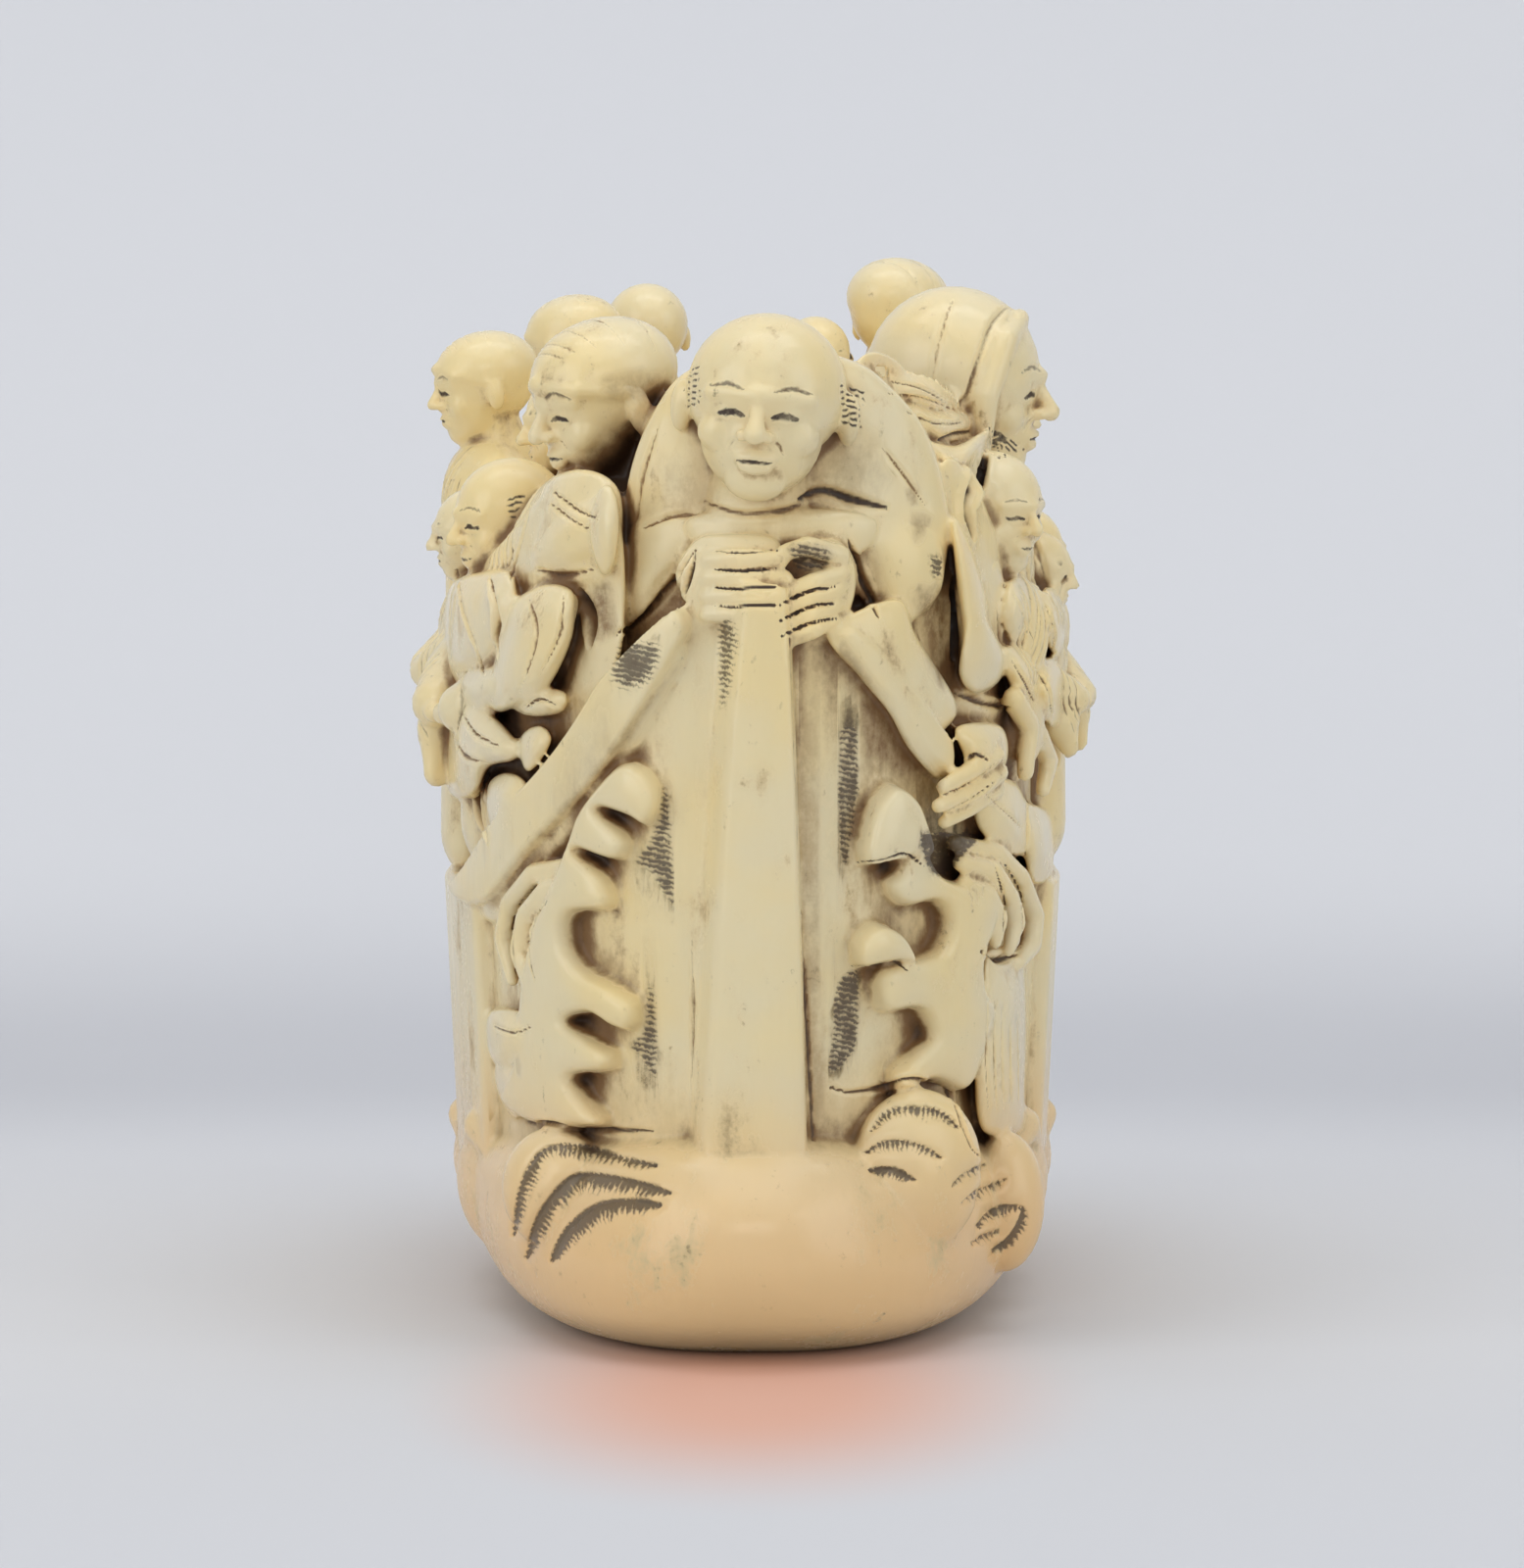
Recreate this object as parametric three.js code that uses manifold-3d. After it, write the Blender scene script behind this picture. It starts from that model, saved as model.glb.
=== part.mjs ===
// Ivory netsuke: a high-bowed boat crowded with passengers, on a sea of clawed waves, carved from one piece.
// Millimetres, +Z up. The bow points to -Y and starboard is +X. The origin is the centre of the flat underside.
import * as THREE from "three";
import { mergeVertices } from "three/addons/utils/BufferGeometryUtils.js";
import Module from "manifold-3d";

const wasm = await Module();
wasm.setup();

// Driving dimensions. Angles along the boat run from the bow (0) through starboard (90) to the stern (180).
const boat = {
  halfBeam: 10.6, // outside of the hull, midships
  halfLength: 20.4, // midships to the hull's front, without the stem
  foot: 3.5, // the hull starts inside the sea
  deck: 15.0, // lowest height of the filled hull, midships
  sheer: 10.4, // how much higher the hull is at its ends
};
const sea = {
  footHalfWidth: 6.4, // the flat underside
  footHalfLength: 17.4,
  halfWidth: 10.7,
  halfLength: 22.6,
  height: 5.6,
};
const stem = { top: 25.2, topHalf: 1.25, footHalf: 2.1, proud: 1.2 };
const plank = { width: 1.9, thick: 1.1 }; // the rail, measured square to its run
const portRail = [[2.2, 26.6], [5.4, 20.6], [9.2, 16.4]]; // its curve in (x, z), seen from the bow
const starboardRail = [[2.9, 27.2], [5.1, 23.2], [7.0, 20.4]];
const crest = { proud: 1.15, sunk: 1.0 }; // wave crests, measured from the hull
const cordHole = { radius: 1.5, at: [0, 5.5] }; // underneath
const knotHole = { radius: 1.8, at: [0, -5.5] };

const v3 = (x, y, z) => new THREE.Vector3(x, y, z);
const point = (p) => v3(...p);
const radians = THREE.MathUtils.degToRad;
const mix = THREE.MathUtils.lerp;

// A closed mesh as a solid, turned the right way out.
function solid(geometry) {
  const loose = geometry.index ? geometry.toNonIndexed() : geometry;
  const bare = new THREE.BufferGeometry().setAttribute("position", loose.getAttribute("position"));
  const merged = mergeVertices(bare, 1e-4);
  const corners = merged.attributes.position.array;
  const faces = new Uint32Array(merged.index.array).filter((_, i, all) => {
    const [a, b, c] = all.subarray(i - (i % 3), i - (i % 3) + 3);
    return a !== b && b !== c && a !== c;
  });
  const made = new wasm.Manifold(new wasm.Mesh({ numProp: 3, vertProperties: corners, triVerts: faces }));
  if (made.volume() > 0) return made;
  for (let i = 0; i < faces.length; i += 3) [faces[i + 1], faces[i + 2]] = [faces[i + 2], faces[i + 1]];
  return new wasm.Manifold(new wasm.Mesh({ numProp: 3, vertProperties: corners, triVerts: faces }));
}

// All the solids as one, joined two by two so that each join stays small.
function join(solids) {
  let left = solids;
  while (left.length > 1) {
    const next = [];
    for (let i = 0; i < left.length; i += 2) next.push(i + 1 < left.length ? left[i].add(left[i + 1]) : left[i]);
    left = next;
  }
  return left[0];
}

// A skin over rings that all have the same number of points, closed by a fan at each end.
function loft(rings) {
  const sides = rings[0].length;
  const points = rings.flat();
  const index = [];
  for (let r = 0; r + 1 < rings.length; r++) {
    for (let i = 0; i < sides; i++) {
      const [p, q] = [r * sides + i, r * sides + ((i + 1) % sides)];
      index.push(p, q, q + sides, p, q + sides, p + sides);
    }
  }
  for (const [start, turned] of [[0, true], [points.length - sides, false]]) {
    const middle = v3(0, 0, 0);
    for (let i = 0; i < sides; i++) middle.addScaledVector(points[start + i], 1 / sides);
    points.push(middle);
    for (let i = 0; i < sides; i++) {
      const [p, q] = [start + i, start + ((i + 1) % sides)];
      index.push(points.length - 1, turned ? q : p, turned ? p : q);
    }
  }
  return solid(new THREE.BufferGeometry().setFromPoints(points).setIndex(index).toNonIndexed());
}

// A ring about a centre, spanned by two vectors that hold its half sizes; square 1 is an oval, less is boxier.
function ring(centre, across, along, sides, square = 1) {
  return Array.from({ length: sides }, (_, i) => {
    const turn = ((i + 0.5) / sides) * 2 * Math.PI;
    const [c, d] = [Math.cos(turn), Math.sin(turn)].map((k) => Math.sign(k) * Math.abs(k) ** square);
    return centre.clone().addScaledVector(across, c).addScaledVector(along, d);
  });
}

// Turns and places what is made facing the bow: nod tips the front down, gaze turns it from bow to starboard.
function pose(place, { gaze = 0, nod = 0, roll = 0 } = {}) {
  const turn = new THREE.Euler(radians(nod), radians(roll), radians(gaze), "ZXY");
  return new THREE.Matrix4().makeRotationFromEuler(turn).setPosition(...place);
}

// An oval ball with three half sizes.
function ball(place, halfSizes, turns = {}, sides = 8, bands = 5) {
  const geometry = new THREE.SphereGeometry(1, sides, bands).rotateX(Math.PI / 2).scale(...halfSizes);
  return solid(geometry.applyMatrix4(pose(place, turns)));
}

// A round limb through some points, with its radius at each; flat squeezes it sideways, blunt cuts its ends off flat.
function limb(points, radii, { sides = 6, flat = 1, blunt = false } = {}) {
  const path = points.map(point);
  const rings = path.map((p, i) => {
    const along = path[Math.min(i + 1, path.length - 1)].clone().sub(path[Math.max(i - 1, 0)]).normalize();
    const across = v3(0, 0, 0).crossVectors(along, Math.abs(along.z) > 0.95 ? v3(0, 1, 0) : v3(0, 0, 1)).normalize();
    const other = v3(0, 0, 0).crossVectors(across, along).normalize();
    return ring(p, across.multiplyScalar(radii[i] * flat), other.multiplyScalar(radii[i]), sides);
  });
  const rounded = (from, next, radius, section) => {
    const push = from.clone().sub(next).setLength(radius * 0.5);
    return section.map((q) => q.clone().lerp(from, 0.4).add(push));
  };
  const last = path.length - 1;
  if (blunt) return loft(rings);
  return loft([
    rounded(path[0], path[1], radii[0], rings[0]),
    ...rings,
    rounded(path[last], path[last - 1], radii[last], rings[last]),
  ]);
}

// Height of the filled hull at an angle along the boat.
const sheerAt = (angle) => boat.deck + boat.sheer * Math.abs(Math.cos(radians(angle))) ** 3.6;

// A point on the hull's side: angle along the boat, height, and distance out from the hull.
function onHull(angle, z, out) {
  const flare = 1 - 0.05 * THREE.MathUtils.clamp((15 - z) / 11, 0, 1);
  const [sin, cos] = [Math.sin(radians(angle)), Math.cos(radians(angle))];
  return v3((boat.halfBeam * flare + out) * sin, -(boat.halfLength * flare + out) * cos, z);
}

// The angle at which the hull has this half width, seen from the bow.
const angleAt = (x) => THREE.MathUtils.radToDeg(Math.asin(THREE.MathUtils.clamp(x / boat.halfBeam, -1, 1)));

// The sea: a flat foot, a rounded bilge and a rim.
function seaBody() {
  const rims = [
    [0, sea.footHalfWidth, sea.footHalfLength, 0.7], [0.5, 8.1, 19.2, 0.75], [1.5, 9.2, 21.3, 0.8],
    [3.1, 10.2, 22.5, 0.9], [4.8, sea.halfWidth, sea.halfLength, 1], [sea.height, 10.5, 22.3, 1],
    [6.9, 9.6, 21.4, 1], [7.7, 7.8, 20.4, 1],
  ];
  return loft(rims.map(([z, a, b, square]) => ring(v3(0, 0, z), v3(a, 0, 0), v3(0, b, 0), 22, square)));
}

// The mass that the passengers are carved out of, from inside the hull to the height of their shoulders.
function crowdCore() {
  return loft([[12, 9.4, 17.6], [20, 9.5, 17.2], [25.5, 9.0, 16.6], [28.8, 7.6, 15.2], [30.8, 5.2, 12.8]].map(
    ([z, a, b]) => ring(v3(0, 1.4, z), v3(a, 0, 0), v3(0, b, 0), 18)));
}

// The hull, a drum with a raised floor at both ends, lofted from the bottom up.
function hullBody() {
  const sides = 30;
  const level = (z, out) => Array.from({ length: sides }, (_, i) => {
    const angle = (i / sides) * 360;
    return onHull(angle, z === null ? sheerAt(angle) : z, out);
  });
  return loft([level(boat.foot, 0), level(14, 0), level(null, 0), level(null, -3.5)]);
}

// The stem: a rib that widens downwards until it runs into the sea.
function stemRib(end) {
  const levels = 5;
  return loft(Array.from({ length: levels + 1 }, (_, i) => {
    const t = i / levels;
    const half = mix(stem.footHalf, stem.topHalf, t ** 0.7);
    const y = -boat.halfLength - mix(1.7, stem.proud, Math.min(1, 3 * t)) + 1.6;
    return ring(v3(mix(0.35, 0.1, t), end * y, mix(4.2, stem.top, t)), v3(half, 0, 0), v3(0, 1.7, 0), 10);
  }));
}

// One strake of the rail: it starts under the hands at the stem and slopes down along the side.
function railPlank(side, end, [from, via, to]) {
  const steps = 5;
  const run = new THREE.QuadraticBezierCurve(...[from, via, to].map(([x, z]) => new THREE.Vector2(x, z)));
  return loft(Array.from({ length: steps + 1 }, (_, i) => {
    const [middle, along] = [run.getPoint(i / steps), run.getTangent(i / steps)];
    return [[-0.5, -1], [-0.5, 1], [0.5, 0.8], [0.4, -1]].map(([o, w]) => {
      const [x, z] = [middle.x - (along.y * w * plank.width) / 2, middle.y + (along.x * w * plank.width) / 2];
      const p = onHull(angleAt(x), z, 0.35 + o * plank.thick);
      return v3(side * p.x, end * p.y, p.z);
    });
  }));
}

// A low relief on the hull: an outline in (x, z) as seen from the bow, or in (angle, z), raised from the hull.
function relief(outline, { mirror = 1, end = 1, byAngle = false, out = crest.proud } = {}) {
  const flat = outline.map(([u, z]) => new THREE.Vector2(byAngle ? u : angleAt(u), z));
  if (THREE.ShapeUtils.isClockWise(flat)) flat.reverse();
  const faces = THREE.ShapeUtils.triangulateShape(flat, []);
  const layer = (o) => flat.map((p) => onHull(p.x, p.y, o)).map((p) => v3(mirror * p.x, end * p.y, p.z));
  const points = [...layer(-crest.sunk), ...layer(out)];
  const n = flat.length;
  const index = [];
  for (const [a, b, c] of faces) index.push(a, c, b, a + n, b + n, c + n);
  for (let i = 0; i < n; i++) {
    const j = (i + 1) % n;
    index.push(i, j, j + n, i, j + n, i + n);
  }
  return solid(new THREE.BufferGeometry().setFromPoints(points).setIndex(index).toNonIndexed());
}

// Foam claws on the port bow and on the starboard bow, seen from the bow, and the swell behind each.
const portCrest = [
  [-5.2, 20.6], [-4.0, 20.6], [-2.9, 19.2], [-2.9, 18.4], [-4.2, 18.8], [-4.0, 17.3], [-4.6, 16.9],
  [-5.6, 17.3], [-4.3, 16.5], [-4.3, 15.4], [-5.8, 15.1], [-5.3, 13.0], [-4.6, 12.5], [-3.9, 11.9], [-3.8, 11.2],
  [-5.2, 11.5], [-5.9, 11.0], [-4.8, 10.5], [-4.4, 10.1], [-5.6, 9.5], [-4.0, 7.6], [-8.3, 7.8], [-7.9, 10.0],
  [-7.3, 13.5], [-6.9, 16.5], [-6.3, 18.7],
];
const starboardCrest = [
  [6.6, 18.2], [5.7, 19.4], [4.6, 19.4], [3.9, 18.4], [3.6, 16.8], [5.1, 16.6], [4.1, 16.0], [4.6, 15.1],
  [5.8, 15.3], [5.9, 14.0], [4.9, 13.3], [4.0, 14.5], [3.2, 14.1], [3.2, 12.9], [4.8, 12.7], [3.9, 12.3],
  [4.0, 11.3], [5.2, 11.2], [5.3, 10.1], [4.0, 8.8], [3.0, 8.3], [6.9, 8.6], [7.4, 12.0], [7.9, 15.0], [8.2, 16.6],
];

// The bare side of the hull, midships, in (angle, z).
const sidePanel = [[76, 4.4], [90, 4.4], [104, 4.4], [105, 10], [106, 17], [90, 17.6], [74, 17], [75, 10]];

// The plainer crest on each side of the sternpost.
const sternCrest = [
  [7.0, 18.0], [5.0, 19.2], [3.4, 17.6], [5.0, 16.8], [4.0, 15.4], [5.8, 14.6], [4.2, 12.6], [5.6, 11.4],
  [3.4, 8.0], [8.2, 8.0], [8.0, 13.0],
];

// A rolled crest: rounded strands side by side that bend over outwards.
function curl(side, angle, z, size) {
  const place = (a, h, o) => {
    const p = onHull(a, h, o);
    return [side * p.x, p.y, p.z];
  };
  return join([0, 1].map((i) => {
    const a = angle + 7 * (i - 0.5) * size;
    const drop = 0.4 * i * size;
    return limb(
      [place(a - 4, z - 1.6 * size, 0), place(a, z + 0.6 * size - drop, 0.8), place(a + 4, z + 0.4 * size - drop, 1.0),
        place(a + 5, z - 1.1 * size - drop, 0.4)],
      [0.6, 0.75, 0.7, 0.35].map((k) => k * size), { sides: 5, blunt: true },
    );
  }));
}

// A swell of the sea that leans on the hull, from the rim of the sea up.
function swell(angle, width, top, side = 1) {
  const lean = [[-1, 4, 0.2], [-0.5, mix(4, top, 0.75), 0.7], [0, top, 0.6], [0.6, mix(4, top, 0.7), 0.7], [1, 4, 0.2]];
  const rings = lean.map(([u, z, o]) => {
    const high = onHull(angle + u * width, z, o);
    const low = onHull(angle + u * width, 2.4, o - 1.1);
    const deep = onHull(angle + u * width, 2.4, -2.5);
    const back = onHull(angle + u * width, z - 0.4, -2.5);
    return [low, high, back, deep].map((p) => v3(side * p.x, p.y, p.z));
  });
  return loft(rings);
}

// A head that faces the bow before it is turned: skull, jaw and nose in one skin, and a cap, hood, topknot or ears.
function head(place, size, turns, hair) {
  const [sides, bands] = [8, 5];
  const skin = new THREE.SphereGeometry(1, sides, bands).rotateX(Math.PI / 2);
  const corners = skin.getAttribute("position");
  for (let i = 0; i < corners.count; i++) {
    const p = v3(0, 0, 0).fromBufferAttribute(corners, i);
    const below = Math.max(0, -p.z);
    const isNose = p.y < -0.9 && Math.abs(p.x) < 0.1;
    const [wide, deep] = [0.88 - 0.3 * below, p.y < 0 ? 0.9 - 0.1 * below : 1 - 0.4 * below];
    p.set(p.x * wide, (p.y - (isNose ? 0.22 : 0)) * deep - 0.25 * below, p.z * 1.05);
    if (hair === "cap" && p.z > 0.3) p.multiplyScalar(1.1);
    if (hair === "hood" && (p.y > -0.45 || p.z > 0.75)) p.set(p.x * 1.22, p.y * 1.15 + 0.1, p.z * 1.12);
    corners.setXYZ(i, p.x * size, p.y * size, p.z * size);
  }
  const knob = (p, halfSizes) => ball(
    point(p).multiplyScalar(size).applyMatrix4(pose(place, turns)).toArray(),
    halfSizes.map((h) => h * size), turns, 5, 3,
  );
  const parts = [solid(skin.applyMatrix4(pose(place, turns)))];
  if (hair === "eared") for (const side of [-1, 1]) parts.push(knob([side * 0.86, 0.1, -0.02], [0.13, 0.22, 0.36]));
  if (hair === "topknot") parts.push(knob([0, 0.35, 1.1], [0.3, 0.42, 0.3]));
  return join(parts);
}

// A seated passenger: a robed body under the head, with the wide sleeves meeting over the rail in front.
function passenger({ at, size, gaze, nod = 8, hair = "shaved", seat, girth = 1, armless = false }) {
  const turns = { gaze, nod };
  const front = v3(Math.sin(radians(gaze)), -Math.cos(radians(gaze)), 0);
  const across = v3(Math.cos(radians(gaze)), Math.sin(radians(gaze)), 0);
  const place = (forward, side, z) => v3(at[0], at[1], z)
    .addScaledVector(front, forward * size).addScaledVector(across, side * size).toArray();
  const [neck, shoulder] = [at[2] - 0.85 * size, at[2] - 1.45 * size];
  const body = loft([[seat, -0.2, 1.35, 1.1], [shoulder, -0.2, 1.3, 1.0], [neck, 0, 0.7, 0.65]].map(
    ([z, forward, a, b]) => ring(
      point(place(forward, 0, z)),
      across.clone().multiplyScalar(a * girth * size), front.clone().multiplyScalar(b * size), 6,
    )));
  const arms = limb(
    [[-0.2, -1.1, 0.3], [0.65, -1.15, 1.4], [1.0, 0, 1.8], [0.65, 1.15, 1.4], [-0.2, 1.1, 0.3]].map(
      ([forward, aside, down]) => place(forward, aside * girth, shoulder - down * size)),
    [0.5, 0.68, 0.42, 0.68, 0.5].map((k) => k * size),
    { sides: 5, blunt: true },
  );
  return join(armless ? [body, head(at, size, turns, hair)] : [body, head(at, size, turns, hair), arms]);
}

// The crowd, read from the bow aft: port upper row, port lower row, the same to starboard, and the helmsman.
const crowd = [
  { at: [-5.3, -10.6, 32.4], size: 2.75, gaze: -62, nod: 14, hair: "cap", seat: 25, girth: 0.95, armless: true },
  { at: [-6.5, -4.0, 31.4], size: 1.9, gaze: -75, seat: 27, armless: true },
  { at: [-9.9, 4.5, 32.3], size: 1.95, gaze: -80, hair: "cap", seat: 25, armless: true },
  { at: [-6.8, 11.8, 33.4], size: 1.95, gaze: -120, hair: "cap", seat: 26, armless: true },
  { at: [-4.1, 16.0, 33.9], size: 1.9, gaze: -150, seat: 26, armless: true },
  { at: [-8.7, -5.9, 28.4], size: 1.9, gaze: -70, hair: "eared", seat: 17.5 },
  { at: [-10.1, -0.4, 27.3], size: 1.65, gaze: -88, seat: 16.5 },
  { at: [-9.7, 5.2, 26.6], size: 1.7, gaze: -98, hair: "topknot", seat: 16.5 },
  { at: [-8.6, 10.4, 27.6], size: 1.75, gaze: -115, hair: "hood", seat: 17.5 },
  { at: [-5.6, 15.6, 28.2], size: 1.8, gaze: -135, seat: 19.5, armless: true },
  { at: [7.7, -5.0, 32.7], size: 3.05, gaze: 84, nod: 6, hair: "hood", seat: 25, girth: 0.8, armless: true },
  { at: [8.5, 4.4, 31.6], size: 2.0, gaze: 95, hair: "cap", seat: 25, armless: true },
  { at: [5.6, 13.6, 34.5], size: 2.15, gaze: 140, hair: "cap", seat: 26, armless: true },
  { at: [2.4, 11.5, 33.3], size: 1.6, gaze: 20, hair: "topknot", seat: 29, armless: true },
  { at: [8.7, -9.0, 28.7], size: 1.9, gaze: 52, nod: 10, seat: 21, armless: true },
  { at: [10.2, -2.4, 26.0], size: 1.5, gaze: 80, seat: 17 },
  { at: [9.9, 2.6, 26.4], size: 1.7, gaze: 92, hair: "eared", seat: 16.5 },
  { at: [9.2, 8.2, 27.2], size: 1.75, gaze: 105, hair: "cap", seat: 16.5 },
  { at: [7.2, 13.4, 28.0], size: 1.8, gaze: 125, hair: "hood", seat: 18.5, armless: true },
  { at: [0.6, 18.0, 30.2], size: 2.2, gaze: 178, nod: 12, seat: 23 },
];

// The passenger at the bow leans over the stem under a wide robe and lays both hands on the stem head.
function leader() {
  const outline = [
    [-2.0, 34.1], [-3.3, 32.3], [-4.2, 30.0], [-4.7, 27.6], [-4.9, 24.9], [-3.4, 26.0], [-1.6, 26.8], [3.0, 26.6],
    [4.2, 25.5], [5.3, 25.4], [6.3, 26.4], [6.7, 28.2], [6.4, 30.2], [5.7, 32.0], [4.6, 33.5], [3.2, 34.5],
    [0.6, 35.0],
  ];
  const slices = [[-11.5, 0.75], [-14.5, 0.98], [-17.4, 1.0], [-19.2, 0.9], [-20.2, 0.66]];
  const robe = loft(slices.map(([y, k]) => outline.map(([x, z]) => v3(mix(0.8, x, k), y, mix(29.6, z, k)))));
  const parts = [
    robe,
    head([0.5, -19.2, 32.6], 2.95, { gaze: 2, nod: 10 }, "eared"),
    limb([[-3.5, -17.4, 30.6], [-3.3, -19.2, 28.4], [-1.6, -20.8, 27.2]], [1.7, 1.7, 1.2]),
    limb([[-4.5, -16.8, 25.7], [-3.4, -18.9, 26.6], [-2.0, -20.4, 27.0]], [0.7, 1.2, 1.0]),
    limb([[4.4, -17.2, 30.4], [4.7, -18.9, 28.4], [3.0, -20.6, 27.4]], [1.9, 1.8, 1.2]),
    limb([[5.4, -17.4, 28.4], [5.0, -18.6, 26.6], [3.9, -19.8, 27.0]], [1.3, 1.1, 0.9]),
    ball([-0.5, -20.9, 27.0], [1.7, 0.9, 1.5], {}, 7, 4),
    ball([2.4, -20.7, 26.5], [1.3, 0.9, 1.6], {}, 7, 4),
  ];
  const [fingers, thick] = [4, [0.44, 0.42, 0.34]];
  for (let i = 0; i < fingers; i++) {
    const [left, right] = [28.0 - 0.7 * i, 27.3 - 0.68 * i];
    const reach = 0.35 * Math.sin((Math.PI * (i + 0.5)) / fingers);
    parts.push(
      limb([[-1.9, -21.1, left], [-0.7, -21.9, left], [0.5 + reach, -21.9, left]], thick, { sides: 4, blunt: true }),
      limb([[3.4, -21.0, right], [2.5, -21.7, right - 0.4], [1.3 - reach, -21.8, right - 0.6]], thick, { sides: 4, blunt: true }),
    );
  }
  return join(parts);
}

// Gripping hands and hanging cloth between the passengers and the rail.
function handsAndCloth() {
  return join([
    limb([[6.4, -13.2, 22.0], [7.7, -12.4, 20.9], [7.7, -12.7, 18.9], [6.0, -14.0, 18.2]], [1.0, 1.5, 1.3, 0.7]),
    limb([[8.7, -9.2, 21.8], [9.5, -8.6, 20.3], [9.1, -8.8, 18.9]], [1.0, 1.1, 0.8]),
    ball([9.0, -8.4, 16.9], [1.5, 1.5, 1.2], { gaze: 50, nod: 20 }),
    limb([[-6.1, -12.4, 27.4], [-7.6, -12.1, 24.4], [-8.7, -11.2, 21.8]], [1.5, 2.0, 1.1], { flat: 0.8 }),
    limb([[-9.4, -6.4, 23.0], [-9.7, -6.8, 20.4], [-8.9, -7.4, 18.4]], [1.3, 1.5, 0.9], { flat: 0.8, blunt: true }),
    ball([-8.0, -10.6, 18.6], [1.2, 1.4, 1.1], { gaze: -40 }),
    limb([[6.6, -11.4, 30.2], [7.4, -11.3, 27.0], [7.9, -11.2, 23.6]], [1.2, 1.5, 1.2], { flat: 0.8 }),
  ]);
}

// The two cord holes underneath, which meet in a tunnel.
function cordTunnel() {
  const deep = 3.2;
  return join([
    limb([[...knotHole.at, -1], [...knotHole.at, deep]], [knotHole.radius, knotHole.radius], { sides: 14 }),
    limb([[...cordHole.at, -1], [...cordHole.at, deep]], [cordHole.radius, cordHole.radius], { sides: 14 }),
    limb([[...knotHole.at, deep], [...cordHole.at, deep]], [1.3, 1.3], { sides: 10 }),
  ]);
}

function carving() {
  const parts = [
    seaBody(), hullBody(), crowdCore(), stemRib(1), stemRib(-1), leader(), handsAndCloth(),
    relief(portCrest), relief(starboardCrest),
    relief(sternCrest, { end: -1 }), relief(sternCrest, { end: -1, mirror: -1 }),
    curl(-1, 50, 14.6, 1.2), curl(1, 56, 15.4, 1.35),
    ...crowd.map(passenger),
  ];
  for (const side of [-1, 1]) {
    parts.push(railPlank(side, 1, side < 0 ? portRail : starboardRail), railPlank(side, -1, portRail));
    parts.push(relief(sidePanel, { mirror: side, byAngle: true, out: 0.6 }));
    for (const [angle, width, top] of [[30, 20, 7.6], [66, 15, 6.6], [120, 15, 6.4], [152, 16, 7.2]]) {
      parts.push(swell(angle, width, top, side));
    }
  }
  // The outer skin alone, so that no pocket is left sealed between the crowd and the hull.
  const whole = join(parts).decompose().reduce((a, b) => (a.volume() > b.volume() ? a : b));
  return whole.subtract(cordTunnel());
}

// A solid as a geometry, centred on the origin in X and Y and standing on Z = 0.
function standing(made) {
  const mesh = made.getMesh();
  const geometry = new THREE.BufferGeometry();
  geometry.setAttribute("position", new THREE.BufferAttribute(new Float32Array(mesh.vertProperties), 3));
  geometry.setIndex(new THREE.BufferAttribute(new Uint32Array(mesh.triVerts), 1));
  geometry.computeBoundingBox();
  const { min, max } = geometry.boundingBox;
  geometry.translate(-(min.x + max.x) / 2, -(min.y + max.y) / 2, -min.z);
  geometry.computeVertexNormals();
  return geometry;
}

const ivory = new THREE.MeshStandardMaterial({ color: 0xe0cb9b, roughness: 0.35, metalness: 0 });
const netsuke = new THREE.Mesh(standing(carving()), ivory);
netsuke.name = "boat_netsuke";
const model = new THREE.Group();
model.add(netsuke);
export default model;
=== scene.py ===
import math

import bmesh
import bpy
import numpy as np
from mathutils import Matrix, Vector, noise
from mathutils.bvhtree import BVHTree
from mathutils.kdtree import KDTree


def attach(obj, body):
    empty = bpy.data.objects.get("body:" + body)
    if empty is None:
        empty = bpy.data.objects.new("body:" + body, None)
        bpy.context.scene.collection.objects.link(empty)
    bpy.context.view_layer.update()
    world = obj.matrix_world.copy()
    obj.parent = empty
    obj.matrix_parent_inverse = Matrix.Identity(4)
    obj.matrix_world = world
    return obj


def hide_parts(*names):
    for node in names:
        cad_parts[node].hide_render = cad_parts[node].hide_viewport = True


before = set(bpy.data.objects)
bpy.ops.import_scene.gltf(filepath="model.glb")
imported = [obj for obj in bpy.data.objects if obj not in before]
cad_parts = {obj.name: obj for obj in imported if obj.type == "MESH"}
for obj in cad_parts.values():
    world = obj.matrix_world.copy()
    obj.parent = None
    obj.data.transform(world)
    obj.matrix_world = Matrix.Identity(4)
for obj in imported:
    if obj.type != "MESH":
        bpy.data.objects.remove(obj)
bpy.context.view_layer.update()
mm = 0.001  # the carving is worked in millimetres and brought to metres at the end

# The camera, and the upright plane through the bow in which the front's details are placed.
view = {"eye": (0.35, -318.86, 46.05), "plane": -20.0, "tilt": 5.0, "lens": 202.5}

# Angles along the boat run from the bow (0) through starboard (90) to the stern (180).
boat = {
    "halfBeam": 10.6,
    "halfLength": 20.4,
    "foot": 5.2,  # the drum of the hull starts inside the sea, clear of the cord tunnel
    "deck": 15.0,
    "sheer": 10.4,
    "railRise": 1.5,  # the rails stand above the filled hull at both ends
}
carving = {
    "voxel": 0.105,  # finest form the clay keeps
    "triangles": 190000,
    "bowShare": 0.6,  # of the triangles, for the third of the boat nearest the bow
}


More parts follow.
